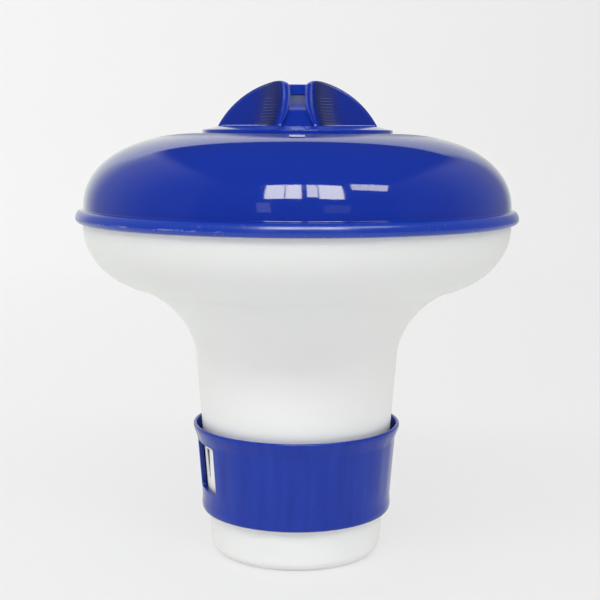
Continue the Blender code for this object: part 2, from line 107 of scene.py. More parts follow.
RETAINER_REACH = 0.0005  # rib inside the flow ring that keeps it on the tube
RETAINER_WIDTH = 0.0012
RETAINER_HEIGHT = 0.0035  # above the flow ring's lower edge

# Slits in the tube
SLIT_COUNT = 3
SLIT_AZIMUTH = -69.5  # degrees from the front to the first slit, towards +X
SLIT_PITCH = 18.0
SLIT_TOP_WIDTH = 0.0028
SLIT_FOOT_WIDTH = 0.0011
SLIT_HEIGHT = 0.0086
SLIT_FOOT = 0.0103  # above the flow ring's lower edge

# Dome
BEAD_RADIUS = DOME_HIGH.x
BEAD_RISE = 0.0024  # from the white rim up to the top of the bead
BEAD_TOP = RIM_TOP + BEAD_RISE
BEAD_LAP = 0.0013  # how far the bead reaches down over the white rim
BEAD_UNDER = 0.0013  # rounding under the bead
BEAD_CREASE = 0.0004  # rounding where the dome meets the bead
SEAM_REACH = 0.00004  # parting ridge round the bead
SEAM_WIDTH = 0.0003
SEAM_HEIGHT = RIM_TOP - BEAD_LAP + BEAD_UNDER
DOME_FULLNESS = 2.2  # 2 makes its side an ellipse, and more makes its shoulder fuller
ROOF_WALL = 0.001  # wall over the channel that takes the white rim
CHANNEL_ROOF = BEAD_TOP - ROOF_WALL
LIP_WALL = 0.0012  # lip on the inner side of that channel
LIP_DROP = 0.001  # how much lower it reaches than the bead
SKIRT_BOTTOM = DOME_LOW.z
SKIRT_WALL = 0.0016
THROAT_LENGTH = 0.0052
TAB_WIDTH = 0.0041  # index tab in front of the lid
TAB_LENGTH = 0.0055
TAB_RADIUS = 0.0383  # from the axis to its outer end
TAB_DROP = 0.00025  # from the crown down to its flat top
TAB_LEAN = 0.00057  # how far its front leans back
TAB_ROUND = 0.0001
RUB_FADE = 0.005  # the dome is rubbed matt this far past the lid, and less up to as far past the tab
CROWN = DOME_HIGH.z

# Lid
LID_RADIUS = LID_HIGH.x
LID_UNDER = CROWN + FIT
LID_EDGE_WALL = 0.0007  # thickness of the disc at its edge
LID_EDGE = LID_UNDER + LID_EDGE_WALL
LID_LIP = 0.00024  # how far the disc's edge reaches down towards the dome
LID_LIP_WIDTH = 0.0008
DISC_RISE = 0.0016  # from its underside up to its flat top
DISC_TOP = LID_UNDER + DISC_RISE
EDGE_ROUND = 0.0003
SPIGOT_BOTTOM = LID_LOW.z
SPIGOT_WALL = 0.0015
SPIGOT_FILLET = 3 * EDGE_ROUND
SEAL_SECTION = (LID_SEAL_HIGH.z - LID_SEAL_LOW.z) / 2
SEAL_RADIUS = LID_SEAL_HIGH.x - SEAL_SECTION
SPIGOT_OUTER = SEAL_RADIUS - SEAL_SECTION - FIT
SPIGOT_INNER = SPIGOT_OUTER - SPIGOT_WALL
GROOVE_OUTER = SEAL_RADIUS + SEAL_SECTION + FIT
GROOVE_BOTTOM = LID_SEAL_LOW.z - FIT
THROAT = SPIGOT_OUTER + SPIGOT_FIT
THROAT_BOTTOM = GROOVE_BOTTOM - THROAT_LENGTH
LUG_COUNT = 3
LUG_WIDTH = 0.008
LUG_REACH = 0.0017
LUG_HEIGHT = 0.0018
LUG_ROUND = 0.0003
LUG_OUTER = THROAT + LUG_REACH
WELL_BORE = LUG_OUTER + LUG_TIP_FIT
SKIRT_OUTER = WELL_BORE + SKIRT_WALL

# Grip on the lid
GRIP_TOP = LID_HIGH.z
GRIP_RISE = GRIP_TOP - DISC_TOP
GRIP_RADIUS = 0.0255  # arc of the grip's outline
GRIP_SHOULDER = 0.0065  # half width of its flat top
GRIP_CENTRE = GRIP_TOP - math.sqrt(GRIP_RADIUS**2 - GRIP_SHOULDER**2)
GRIP_END = math.sqrt(GRIP_RADIUS**2 - (DISC_TOP - GRIP_CENTRE) ** 2)
GRIP_ROOT = 0.0006  # how far the grip is sunk into the disc
GRIP_EDGE = 0.0007  # rounding along its outline
GRIP_FILLET = 0.0006  # at the foot of the grip
GRIP_DROP = 0.0002  # how far the outline falls below its arc near the top
GRIP_DROP_POWER = 1.5  # how closely that keeps to the top
GRIP_WAIST = 0.7  # share of the grip's height at which its lips stand closest
BLADE_HALF = 0.0012  # half thickness at the ends
HUB_FOOT = 0.0062  # half depth of the lips at the disc
HUB_TOP = 0.005
RIDGE_WAIST = 0.0038  # half width over the lips at the waist
RIDGE_FLARE = 0.0019  # how much wider they stand at the disc
RIDGE_ROUND = 0.0007
SLOT_WAIST = 0.00195  # half width of the slot between the lips at the waist
SLOT_FLARE = 0.0025
SLOT_WALL = 0.00012  # width over which the slot's walls rise
LIP_EDGE = 0.00035  # rounding along the slot
LIP_ROUND = 0.003  # width over which the tops of the lips fall to the bar
SCOOP_WALL = 0.85  # share of a scoop's depth that lies in its steep wall beside the lip
SCOOP_WALL_POWER = 20.0  # how steeply that wall falls
SCOOP_POWER = 2.0  # and the slope after it
SCOOP_WALL_RUN = 0.0025  # width with the finest facets
WEB_HALF = 0.0045  # half thickness of the web in the slot
WEB_FLARE = 0.0006  # how much thicker it is at the disc
WEB_FLARE_RISE = 0.0072  # height over which it thickens
WEB_TOP_HALF = 0.0027  # what is left of it under the bar
WEB_SLOPE = 0.63  # how fast the pocket under the bar falls back
WEB_ROUND = 0.0014
BAR_HALF = 0.0032  # half thickness of the bar that bridges the slot, at its foot
BAR_LEAN = 0.08  # how fast its face leans back
BAR_HEIGHT = 0.0028
BAR_DROP = 0.0011  # from the tops of the lips down to the bar
BAR_TOP = GRIP_TOP - BAR_DROP
BAR_BOTTOM = BAR_TOP - BAR_HEIGHT
BAR_EDGE = 0.00015
POCKET_FOOT = BAR_BOTTOM - (WEB_HALF - WEB_TOP_HALF) / WEB_SLOPE

# Fine ribs in the scoops
SCOOP_COUNT = 4  # front and back, left and right
RIB_COUNT = 9  # in each scoop
RIB_PITCH = 0.00087
RIB_FIRST = 0.0009  # height of the lowest above the disc
RIB_START = 0.0012  # distance from the lip
RIB_RUN = 0.006
RIB_RADIUS = 0.00016
RIB_SINK = 0.00008
RIB_FADE = 0.0001  # how much deeper it lies at its outer end

# Flow ring
RING_BOTTOM = RING_LOW.z
RING_HEIGHT = RING_HIGH.z - RING_LOW.z
RING_WALL = 0.0013
RING_LIP = 0.001
RING_LIP_HEIGHT = 0.0045
RING_LIP_ROUND = 0.0004
RING_FLARE = 0.0013  # how far its inside opens out at the top
RING_BEAD = 0.00035
RING_BEAD_HEIGHT = 0.003
RING_EDGE = 0.0003  # rounding inside its upper edge
RING_RIPPLE = 0.00006  # depth of the draw marks down the ring
RING_WAVES = ((7, 0.6, 1.0), (13, 2.1, 0.7), (24, 4.0, 0.6), (37, 1.2, 0.4))  # count, phase, share
WINDOW_COUNT = 2
WINDOW_AZIMUTH = -67.2  # degrees from the front, towards +X
WINDOW_WIDTH = 0.0123
WINDOW_HEIGHT = 0.0136
WINDOW_FOOT = 0.0069  # above the ring's lower edge
WINDOW_CORNER = 0.0008
WINDOW_EDGE = 0.00012

# Rim gasket
GASKET_ROUND = 0.25  # rounding of its edges, as a share of its thickness

# Facets
TURN_STEPS = 192
SEAL_SIDES = 24
CURVE_STEPS = 28
DOME_STEPS = 72
CORNER_STEPS = 5
WINDOW_COLUMNS = 9
WINDOW_ROWS = 6
WINDOW_EDGE_STEPS = 2
WINDOW_EDGE_ANGLE = math.radians(60)  # only sharper edges are rounded
RING_COLUMNS = 66  # between two windows
FILLET_ROWS = 4
WEB_ROWS = 30
BAR_ROWS = 20
SLOT_COLUMNS = 5
LIP_COLUMNS = 5
SCOOP_WALL_COLUMNS = 12
SCOOP_COLUMNS = 22
RIB_POINTS = 14
RIB_SIDES = 8
CUT_SPARE = 0.004  # how far a cutter reaches past what it cuts
MERGE = 1e-7
SHARP_ANGLE = math.radians(38)
ARC_PROFILE = 0.5  # a bevel whose section is an arc

# Finish of the white body. In each finish a pair of distances is where a mark starts and where it is full
POLYPROPYLENE_IOR = 1.49
WHITE_SHADES = (colour(236, 237, 236), colour(242, 243, 242))
WHITE_CLOUD_SCALE = 38
WHITE_GRAIN_SCALE = 1900
WHITE_ROUGHNESS = 0.36
WHITE_GRAIN_ROUGHNESS = 0.1  # what the grain adds
WHITE_CLOUD_ROUGHNESS = 0.06
WHITE_CLOUD_RELIEF = 0.6  # against the grain's
WHITE_RELIEF = 0.00002
# Painted shade: the float turns greyer towards its rim
FLOAT_PAINTED_SHADE = colour(226, 228, 227)
FLOAT_PAINTED_SHADE_SHARE = 0.6  # how much of it shows at the rim
# Colour of the painted contact shadow round the foot
FOOT_SHADOW_COLOUR = colour(112, 112, 110)
# Darker brown inside the slits and on the tube's inner wall at their height
SLIT_DARK_COLOUR = colour(72, 64, 46)
SLIT_DARK_SHARE = 0.95
SLIT_DARK_DEPTH = (0.0001, 0.0005)  # into the tube's wall

# Finish of the dome
BLUE_IOR = 1.5
DOME_SHADES = (colour(21, 47, 152), colour(25, 52, 158))
DOME_FLOW_SCALE = 26
DOME_FLOW_STRETCH = (1, 1, 3)
DOME_WAVE_SCALE = 55
DOME_ROUGHNESS = 0.05
DOME_RELIEF = 0.00004
DUST_SCALE = 700
DUST_LEVELS = (0.5, 0.8)
DUST_ROUGHNESS = 0.08
BEAD_COLOUR = colour(20, 57, 169)
BEAD_ROUGHNESS = 0.18
RUB_ROUGHNESS = 0.3
SEAM_WEAR_SCALE = 170
SEAM_WEAR_STRETCH = (1, 1, 4)
SEAM_WEAR_LEVELS = (0.5, 0.6)
SEAM_WEAR_SIDE = (0.01, 0.03)  # from the middle towards -X
SEAM_WEAR_COLOUR = colour(150, 165, 215)
SEAM_WEAR_SHARE = 0.35
SEAM_WEAR_ROUGHNESS = 0.25
SEAM_WEAR_RELIEF = 0.4

# Finish of the lid
LID_SHADES = (colour(22, 54, 170), colour(27, 60, 178))
LID_FLOW_SCALE = 60
LID_GRAIN_SCALE = 1500
LID_ROUGHNESS = 0.05
LID_GRAIN_ROUGHNESS = 0.06
LID_GRAIN_RELIEF = 0.4  # against the flow marks'
LID_RELIEF = 0.00002
# Painted shade: darker tones in the scoops beside the lips, where the lips shade them
SCOOP_PAINTED_SHADES = (colour(17, 34, 108), colour(24, 42, 122))
SCOOP_ROUGHNESS = 0.35
SCOOP_MATT_AND_SHADE = (0.0004, 0.0014)  # from the lip outwards, where the scoop turns matt and takes the painted shade
SCOOP_CLEAR = (0.003, 0.0095)  # farther out, where most of the matt and the painted shade is gone again
SCOOP_CLEAR_SHARE = 0.65
POCKET_ROUGHNESS = 0.85
POCKET_SOFTNESS = 1.5  # height over which it turns matt, as a share of the web's rounding
# Greyer colour under the bar: dust, and a painted sheen of reflected window light
POCKET_DUST_AND_SHEEN_COLOUR = colour(86, 93, 124)
POCKET_DUST_AND_SHEEN_SHARE = 0.9
# Painted highlights: pale broken lines along the lips' edges, standing for reflected light
LIP_HIGHLIGHT_SCALE = 420
LIP_HIGHLIGHT_LEVELS = (0.2, 0.55)
LIP_HIGHLIGHT_REACH = (0.0001, 0.0005)  # from an edge, where the painted highlight starts to end and where it has ended
LIP_HIGHLIGHT_COLOUR = colour(130, 142, 200)
LIP_HIGHLIGHT_SHARE = 0.5

# Finish of the flow ring
RING_SHADES = (colour(5, 35, 140), colour(27, 61, 174))
STREAK_SCALE = 11  # round the ring
STREAK_LIFT = (0, 0, 4)  # how fast the streaks change up the ring
RING_GRAIN_SCALE = 1300
RING_ROUGHNESS = 0.14
RING_GRAIN_ROUGHNESS = 0.06
STREAK_ROUGHNESS = 0.08
RING_GRAIN_RELIEF = 0.05  # against the streaks'
RING_RELIEF = 0.00008
RING_SPECULAR = 0.28
# Painted shade on the ring's inside and on the jambs of its windows
RING_PAINTED_SHADE_COLOUR = colour(14, 26, 84)
RING_PAINTED_SHADE_SHARE = 0.45
RING_PAINTED_SHADE_DEPTH = (0.0002, 0.0007)  # into the ring's wall

# Finish of the seals
RUBBER_SHADES = (colour(26, 27, 29), colour(44, 45, 47))
RUBBER_BLOOM_SCALE = 260
RUBBER_GRAIN_SCALE = 2600
RUBBER_ROUGHNESS = 0.6
RUBBER_GRAIN_ROUGHNESS = 0.25
RUBBER_RELIEF = 0.00003

# Backdrop
SWEEP_BACK = 0.8  # distance of the upright part of the backdrop behind the object
SWEEP_FRONT = -0.5
SWEEP_SIDES = (-0.5, 0.43)  # where the paper's sides have half faded out
SWEEP_TOP = 0.69
SWEEP_FADE = 0.16
SWEEP_BEND = 0.12
SWEEP_COLOUR = colour(240, 240, 240)
SWEEP_GLOW = 0.72  # share of the paper's look that shadows leave alone
SWEEP_SEEN = 0.9  # how bright that share looks behind the object
SWEEP_NEAR_DROP = 0.05  # how much darker it looks under the object
SWEEP_TILT = 0.22  # how much brighter it looks for each metre to the left
SWEEP_GLOSS = 0.12  # how much brighter it looks in glossy plastic
SWEEP_GLOSS_TILT = 0.5  # and how much more of that for each metre to the left

# Room
PLAIN_LIGHT = (1, 1, 1, 1)
ROOM_FILL = 0.72  # light from all round
ROOM_TILT = 0.035  # how much more of it comes from the left
ROOM_SIDES = 0.16  # and from both sides rather than from the front and the back
ROOM_SEEN = 0.88  # what the camera sees past the backdrop
ROOM_GLOSS = 0.04  # what glossy plastic reflects of the room
# The paler side walls, as glossy plastic shows them: rise is the height as a share of the distance, glow is
# how much paler the wall gets towards the back, and far_glow is what comes on top past far_start
LEFT_WALL = {"side": -1, "rise": 1.9, "gloss": 0.13, "glow": 0.3, "far_glow": 0.8, "far_start": 0.6}
RIGHT_WALL = {"side": 1, "rise": 1.48, "gloss": 0.1, "glow": 0.24, "far_glow": 0.45, "far_start": 0.8}
WALL_COLOUR = (1.0, 1.02, 0.82, 1.0)  # of the walls and the backdrop in glossy plastic
WALL_FRONT = 0.85  # how far a wall reaches forwards, as a share of its distance
WALL_TOP_FADE = 0.2
WALL_FRONT_FADE = 0.3
WALL_PALING = (-0.3, 0.6)  # from the front to the back, where a wall starts to get paler and where it stops
WALL_FAR_END = 0.95

# Lights
KEY_DISTANCE = 1.5
KEY_SIZE = (2.2, 0.3)  # width and height
KEY_AZIMUTH = -7.0  # degrees from the front, towards +X
KEY_ELEVATION = 51.0
KEY_RADIANCE = 5.4  # how bright it looks
PANE_DISTANCE = 1.6
PANE_TILT = math.radians(20.5)  # how far the window stands above level and leans over the object
PANE_TARGET = Vector((0, -0.035, 0.112))
# Left, right, foot and head of each pane as shares of their distance, then how bright it looks
PANES = (
    (-0.28, -0.11, 0.235, 0.83, 14.0),
    (-0.1, 0.037, 0.235, 0.83, 14.5),
    (0.085, 0.18, 0.29, 0.83, 12.5),
    (0.19, 0.42, 0.235, 0.84, 14.0),
    (-0.36, -0.23, -0.2, 0.11, 1.0),
    (0.24, 0.5, -0.2, 0.04, 0.4),
)
PANE_COLOUR = (1, 0.98, 0.74)
SIDE_PANE_AIM = (-0.503, 0.417, -0.757)  # which way a small window high on the right faces
SIDE_PANE_SIZE = (0.46, 0.3)
SIDE_PANE_ROLL = math.radians(-28)
SIDE_PANE_RADIANCE = 9.5

# Camera
CAMERA_PLACE = (0.0009, -0.3528, 0.1201)
CAMERA_PITCH = math.radians(82.4)
CAMERA_ROLL = math.radians(0.25)
CAMERA_LENS = 74.03  # millimetres, as its sensor is
CAMERA_SENSOR = 36


# Node trees

MIX_FACTOR, MIX_A, MIX_B, MIX_COLOUR = 0, 6, 7, 2  # sockets of a colour Mix node


class Wire:
    """A node socket that takes part in Python arithmetic: each operation adds a Math node."""

    def __init__(self, tree, socket):
        self.tree = tree
        self.socket = socket

    def out(self, name):
        """Another output of the same node."""
        return Wire(self.tree, self.socket.node.outputs[name])

    def math(self, operation, *values):
        return self.tree.node("ShaderNodeMath", {"operation": operation}, dict(enumerate(values)))

    def __add__(self, other):
        return self.math("ADD", self, other)

    __radd__ = __add__

    def __sub__(self, other):
        return self.math("SUBTRACT", self, other)

    def __rsub__(self, other):
        return self.math("SUBTRACT", other, self)

    def __mul__(self, other):
        return self.math("MULTIPLY", self, other)

    __rmul__ = __mul__

    def __truediv__(self, other):
        return self.math("DIVIDE", self, other)

    def __neg__(self):
        return self * -1

    def __abs__(self):
        return self.math("ABSOLUTE", self)

    def __pow__(self, other):
        return self.math("POWER", self, other)

    def __mod__(self, other):
        return self.math("FLOORED_MODULO", self, other)

    def __floordiv__(self, other):
        return self.math("FLOOR", self / other)


class Tree:
    """A node tree that is written as calls and expressions."""

    def __init__(self, nodes):
        self.nodes = nodes

    def feed(self, socket, value):
        if isinstance(value, Wire):
            self.nodes.links.new(value.socket, socket)
        else:
            socket.default_value = value

    def node(self, kind, settings=None, sockets=None, output=0):
        """Adds a node: its settings first, then the values or links of its sockets."""
        node = self.nodes.nodes.new(kind)
        for name, value in (settings or {}).items():
            setattr(node, name, value)
        for key, value in (sockets or {}).items():
            self.feed(node.inputs[key], value)
        return Wire(self, node.outputs[output])

    def place(self):
        return self.node("ShaderNodeTexCoord", output="Object")

    def scaled(self, vector, factors):
        return self.node("ShaderNodeVectorMath", {"operation": "MULTIPLY"}, {0: vector, 1: factors})

    def noise(self, vector, scale, detail=2.0, roughness=0.5):
        sockets = {"Vector": vector, "Scale": scale, "Detail": detail, "Roughness": roughness}
        return self.node("ShaderNodeTexNoise", None, sockets)

    def step(self, value, low, high):
        """0 below low and 1 above high, with a smooth slope between."""
        sockets = {"Value": value, "From Min": low, "From Max": high}
        return self.node("ShaderNodeMapRange", {"interpolation_type": "SMOOTHSTEP"}, sockets)

    def length(self, vector):
        return self.node("ShaderNodeVectorMath", {"operation": "LENGTH"}, {0: vector}, "Value")

    def least(self, first, second):
        return self.node("ShaderNodeMath", {"operation": "MINIMUM"}, {0: first, 1: second})

    def mix(self, factor, first, second):
        sockets = {MIX_FACTOR: factor, MIX_A: first, MIX_B: second}
        return self.node("ShaderNodeMix", {"data_type": "RGBA"}, sockets, MIX_COLOUR)

    def bump(self, height, distance):
        return self.node("ShaderNodeBump", None, {"Height": height, "Distance": distance})


# Profiles, as (radius, height) or (radius, height, rounding)


def ellipse_arc(centre, radii, start, end, count):
    """Points on an ellipse from start to end, in degrees, with both ends."""
    points = []
    for i in range(count + 1):
        angle = math.radians(start + (end - start) * i / count)
        points.append((centre[0] + radii[0] * math.cos(angle), centre[1] + radii[1] * math.sin(angle)))
    return points


def dome_arc(centre, radii, start, end, count):
    """Points on the dome's side from start to end, in degrees, with both ends."""
    points = []
    for i in range(count + 1):
        angle = math.radians(start + (end - start) * i / count)
        across = math.cos(angle) ** (2 / DOME_FULLNESS)
        up = math.sin(angle) ** (2 / DOME_FULLNESS)
        points.append((centre[0] + radii[0] * across, centre[1] + radii[1] * up))
    return points


def bezier(a, b, c, d, count):
    """Points on a curve from a to d that is pulled towards b and c, with both ends."""
    points = []
    for i in range(count + 1):
        t = i / count
        weights = ((1 - t) ** 3, 3 * t * (1 - t) ** 2, 3 * t * t * (1 - t), t**3)
        points.append(tuple(sum(w * p[k] for w, p in zip(weights, (a, b, c, d))) for k in (0, 1)))
    return points


def corner_arc(before, corner, after, rounding):
    """Points that round a corner of an outline."""
    first = (before - corner).normalized()
    second = (after - corner).normalized()
    half = first.angle(second) / 2
    centre = corner + (first + second).normalized() * rounding / math.sin(half)
    start = corner + first * rounding / math.tan(half) - centre
    turn = start.angle_signed(corner + second * rounding / math.tan(half) - centre)
    points = []
    for i in range(CORNER_STEPS + 1):
        angle = -turn * i / CORNER_STEPS
        x = start.x * math.cos(angle) - start.y * math.sin(angle)
        y = start.x * math.sin(angle) + start.y * math.cos(angle)
        points.append((centre.x + x, centre.y + y))
    return points


def rounded(corners):
    """An outline whose corners with a third value are rounded by it."""
    flat = [Vector(corner[:2]) for corner in corners]
    points = []
    for i, corner in enumerate(corners):
        if len(corner) == 2:
            points.append(corner)
        else:
            points += corner_arc(flat[i - 1], flat[i], flat[(i + 1) % len(flat)], corner[2])
    return points


def offset_inwards(points, distance):
    """A line that runs down an outer side, moved towards the axis by a wall's thickness."""
    moved = []
    for i, (radius, height) in enumerate(points):
        before = points[max(i - 1, 0)]
        after = points[min(i + 1, len(points) - 1)]
        along = (after[0] - before[0], after[1] - before[1])
        length = math.hypot(*along)
        moved.append((radius + distance * along[1] / length, height - distance * along[0] / length))
    return moved


def tube_radius(height):
    return TUBE_FOOT + TUBE_TAPER * height


def float_side():
    """Outer side of the white body from the rim down to the start of the tube."""
    widest = RIM_TOP - RIM_RISE
    curl = ellipse_arc(
        (RIM_RADIUS - CURL_WIDTH, widest), (CURL_WIDTH, CURL_DEPTH), 0, FLARE_JOIN - 90, CURVE_STEPS
    )
    join = curl[-1]
    turn = math.radians(FLARE_JOIN)
    slope = Vector((-CURL_WIDTH * math.cos(turn), -CURL_DEPTH * math.sin(turn))).normalized()
    foot = (tube_radius(NECK_HEIGHT), NECK_HEIGHT)
    upper = (join[0] + slope.x * FLARE_TOP_PULL, join[1] + slope.y * FLARE_TOP_PULL)
    lower = (foot[0] + TUBE_TAPER * FLARE_FOOT_PULL, foot[1] + FLARE_FOOT_PULL)
    return [(RIM_RADIUS, RIM_TOP)] + curl + bezier(join, upper, lower, foot, CURVE_STEPS)[1:]


def retaining_rib():
    middle = RING_BOTTOM + RETAINER_HEIGHT
    top = middle + RETAINER_WIDTH / 2
    bottom = middle - RETAINER_WIDTH / 2
    return [
        (tube_radius(top), top),
        (tube_radius(middle) + RETAINER_REACH, middle),
        (tube_radius(bottom), bottom),
    ]


def shell_profile():
    outer = float_side()
    inner = offset_inwards(outer, SHELL_WALL)
    inner[0] = (RIM_RADIUS - SHELL_WALL, RIM_TOP)
    corner = FLOOR_WALL + FLOOR_CORNER
    corner_radius = tube_radius(corner) - SHELL_WALL
    floor = [(0, FLOOR_WALL)] + ellipse_arc(
        (corner_radius - FLOOR_CORNER, corner), (FLOOR_CORNER, FLOOR_CORNER), -90, 0, CORNER_STEPS
    )
    edge_centre = (tube_radius(TUBE_EDGE) - TUBE_EDGE, TUBE_EDGE)
    foot = ellipse_arc(edge_centre, (TUBE_EDGE, TUBE_EDGE), 0, -90, 2 * CORNER_STEPS)
    gate = [
        (GATE_RADIUS, 0),
        (GATE_RADIUS - GATE_SLOPE, GATE_DEPTH),
        (GATE_STUB, GATE_DEPTH),
        (GATE_STUB, GATE_DEPTH / 2),
        (0, GATE_DEPTH / 2),
    ]
    return floor + inner[::-1] + outer + retaining_rib() + foot + gate


def bead_profile():
    """The rolled rim, from the foot of the dome down and round to its underside."""
    middle = SEAM_HEIGHT
    body = BEAD_RADIUS - SEAM_REACH
    over_radii = (body - RIM_RADIUS, BEAD_TOP - middle)
    over = ellipse_arc((RIM_RADIUS, middle), over_radii, 90, 0, 3 * CORNER_STEPS)
    under_radii = (BEAD_UNDER, BEAD_UNDER)
    under = ellipse_arc((body - BEAD_UNDER, middle), under_radii, 0, -90, 2 * CORNER_STEPS)
    seam = [(body, middle + SEAM_WIDTH / 2), (BEAD_RADIUS, middle), (body, middle - SEAM_WIDTH / 2)]
    above = [point for point in over[1:] if point[1] > middle + SEAM_WIDTH]
    below = [point for point in under if point[1] < middle - SEAM_WIDTH]
    return above + seam + below


def dome_profile():
    centre = (LID_RADIUS, BEAD_TOP)
    radii = (RIM_RADIUS - LID_RADIUS, CROWN - BEAD_TOP)
    inner_radii = (radii[0] - SHELL_WALL, radii[1] - SHELL_WALL)
    outer = dome_arc(centre, radii, 90, 0, DOME_STEPS)
    crease = [point for point in outer if point[1] > BEAD_TOP + BEAD_CREASE] + [(*outer[-1], BEAD_CREASE)]
    channel_outer = RIM_RADIUS + FIT
    channel_inner = RIM_RADIUS - SHELL_WALL - FIT
    lip_inner = channel_inner - LIP_WALL
    bead_bottom = RIM_TOP - BEAD_LAP
    channel = [
        (channel_outer, bead_bottom),
        (channel_outer, CHANNEL_ROOF),
        (channel_inner, CHANNEL_ROOF),
        (channel_inner, bead_bottom - LIP_DROP),
        (lip_inner, bead_bottom - LIP_DROP),
    ]
    lip_share = (lip_inner - LID_RADIUS) / inner_radii[0]
    first = math.degrees(math.acos(lip_share ** (DOME_FULLNESS / 2)))
    inner = dome_arc(centre, inner_radii, first, 90, CURVE_STEPS)
    well = [
        (SKIRT_OUTER, inner[-1][1]),
        (SKIRT_OUTER, SKIRT_BOTTOM),
        (WELL_BORE, SKIRT_BOTTOM),
        (WELL_BORE, THROAT_BOTTOM),
        (THROAT, THROAT_BOTTOM, EDGE_ROUND),
        (THROAT, GROOVE_BOTTOM, EDGE_ROUND),
        (GROOVE_OUTER, GROOVE_BOTTOM),
        (GROOVE_OUTER, CROWN, EDGE_ROUND),
    ]
    return rounded(crease + bead_profile() + channel + inner + well)


def lid_profile():
    flat = GRIP_END + FIT
    disc_under = DISC_TOP - SPIGOT_WALL
    return rounded(
        [
            (0, DISC_TOP),
            (flat, DISC_TOP, EDGE_ROUND),
            (LID_RADIUS, LID_EDGE, EDGE_ROUND),
            (LID_RADIUS, LID_UNDER - LID_LIP),
            (LID_RADIUS - LID_LIP_WIDTH, LID_UNDER - LID_LIP),
            (LID_RADIUS - LID_LIP_WIDTH, LID_UNDER),
            (SPIGOT_OUTER, LID_UNDER),
            (SPIGOT_OUTER, SPIGOT_BOTTOM, EDGE_ROUND),
            (SPIGOT_INNER, SPIGOT_BOTTOM, EDGE_ROUND),
            (SPIGOT_INNER, disc_under, SPIGOT_FILLET),
            (0, disc_under),
        ]
    )


# Meshes


def new_piece(name, shape):
    """An object for a finished bmesh."""
    mesh = bpy.data.meshes.new(name)
    shape.to_mesh(mesh)
    shape.free()
    piece = bpy.data.objects.new(name, mesh)
    bpy.context.scene.collection.objects.link(piece)
    return piece


def tidy(shape):
    """Closes a shape's seams and poles and turns its faces outwards."""
    bmesh.ops.remove_doubles(shape, verts=shape.verts, dist=MERGE)
    bmesh.ops.recalc_face_normals(shape, faces=shape.faces)
    return shape


def turned(name, profile, closed=True):
    """A profile turned round the vertical axis. One that is not closed starts and ends on the axis."""
    shape = bmesh.new()
    points = [shape.verts.new((radius, 0, height)) for radius, height in profile]
    edges = [shape.edges.new(pair) for pair in zip(points, points[1:])]
    if closed:
        edges.append(shape.edges.new((points[-1], points[0])))
    bmesh.ops.spin(
        shape,
        geom=points + edges,
        axis=(0, 0, 1),
        cent=(0, 0, 0),
        angle=math.tau,
        steps=TURN_STEPS,
        use_merge=True,
    )
    return new_piece(name, tidy(shape))


def block(name, low, high, foot_share=1.0, lean=0.0, rounding=0.0):
    """A block at the front. It can have a narrower foot, a front that leans back and rounded edges."""
    shape = bmesh.new()
    bmesh.ops.create_cube(shape, size=1)
    for vertex in shape.verts:
        narrowing = foot_share if vertex.co.z < 0 else 1
        leaning = lean if vertex.co.z > 0 > vertex.co.y else 0
        vertex.co = [low[k] + (vertex.co[k] + 0.5) * (high[k] - low[k]) for k in range(3)]
        vertex.co.x *= narrowing
        vertex.co.y += leaning
    if rounding:
        bmesh.ops.bevel(
            shape,
            geom=shape.edges[:],
            offset=rounding,
            segments=CORNER_STEPS,
            profile=ARC_PROFILE,
            affect="EDGES",
        )
    return new_piece(name, tidy(shape))


def keep_result(piece):
    """Makes what an object's modifiers give its own mesh."""
    graph = bpy.context.evaluated_depsgraph_get()
    mesh = bpy.data.meshes.new_from_object(piece.evaluated_get(graph))
    piece.modifiers.clear()
    piece.data = mesh


def combine(piece, operation, others):
    """Cuts other shapes out of a piece or joins them to it, and removes them."""
    for other in others:
        modifier = piece.modifiers.new(other.name, "BOOLEAN")
        modifier.operation = operation
        modifier.object = other
    keep_result(piece)
    for other in others:
        bpy.data.objects.remove(other)


def shade(piece):
    """Smooth shading that lets large faces set the normals, with hard edges where the piece has corners."""
    piece.data.shade_smooth()
    piece.data.set_sharp_from_angle(angle=SHARP_ANGLE)
    weighted = piece.modifiers.new("normals", "WEIGHTED_NORMAL")
    weighted.keep_sharp = True
    keep_result(piece)


def dress(piece, finish, body, slot, *nodes):
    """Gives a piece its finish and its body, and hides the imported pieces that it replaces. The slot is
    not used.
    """
    piece.data.materials.clear()
    piece.data.materials.append(finish)
    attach(piece, body)
    if nodes:
        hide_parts(*nodes)


def grow(piece, name, inputs, build):
    """Runs a Geometry Nodes tree with named inputs on a piece and keeps the mesh that it makes."""
    group = bpy.data.node_groups.new(name, "GeometryNodeTree")
    group.interface.new_socket("Geometry", in_out="INPUT", socket_type="NodeSocketGeometry")
    kinds = {int: "NodeSocketInt", float: "NodeSocketFloat", bpy.types.Material: "NodeSocketMaterial"}
    named = {
        label: group.interface.new_socket(label, in_out="INPUT", socket_type=kinds[type(value)])
        for label, value in inputs.items()
    }
    group.interface.new_socket("Geometry", in_out="OUTPUT", socket_type="NodeSocketGeometry")
    tree = Tree(group)
    entry = group.nodes.new("NodeGroupInput")
    result = build(tree, {label: Wire(tree, entry.outputs[label]) for label in ("Geometry", *inputs)})
    tree.feed(group.nodes.new("NodeGroupOutput").inputs["Geometry"], result)
    modifier = piece.modifiers.new(name, "NODES")
    modifier.node_group = group
    for label, value in inputs.items():
        modifier[named[label].identifier] = value
    keep_result(piece)


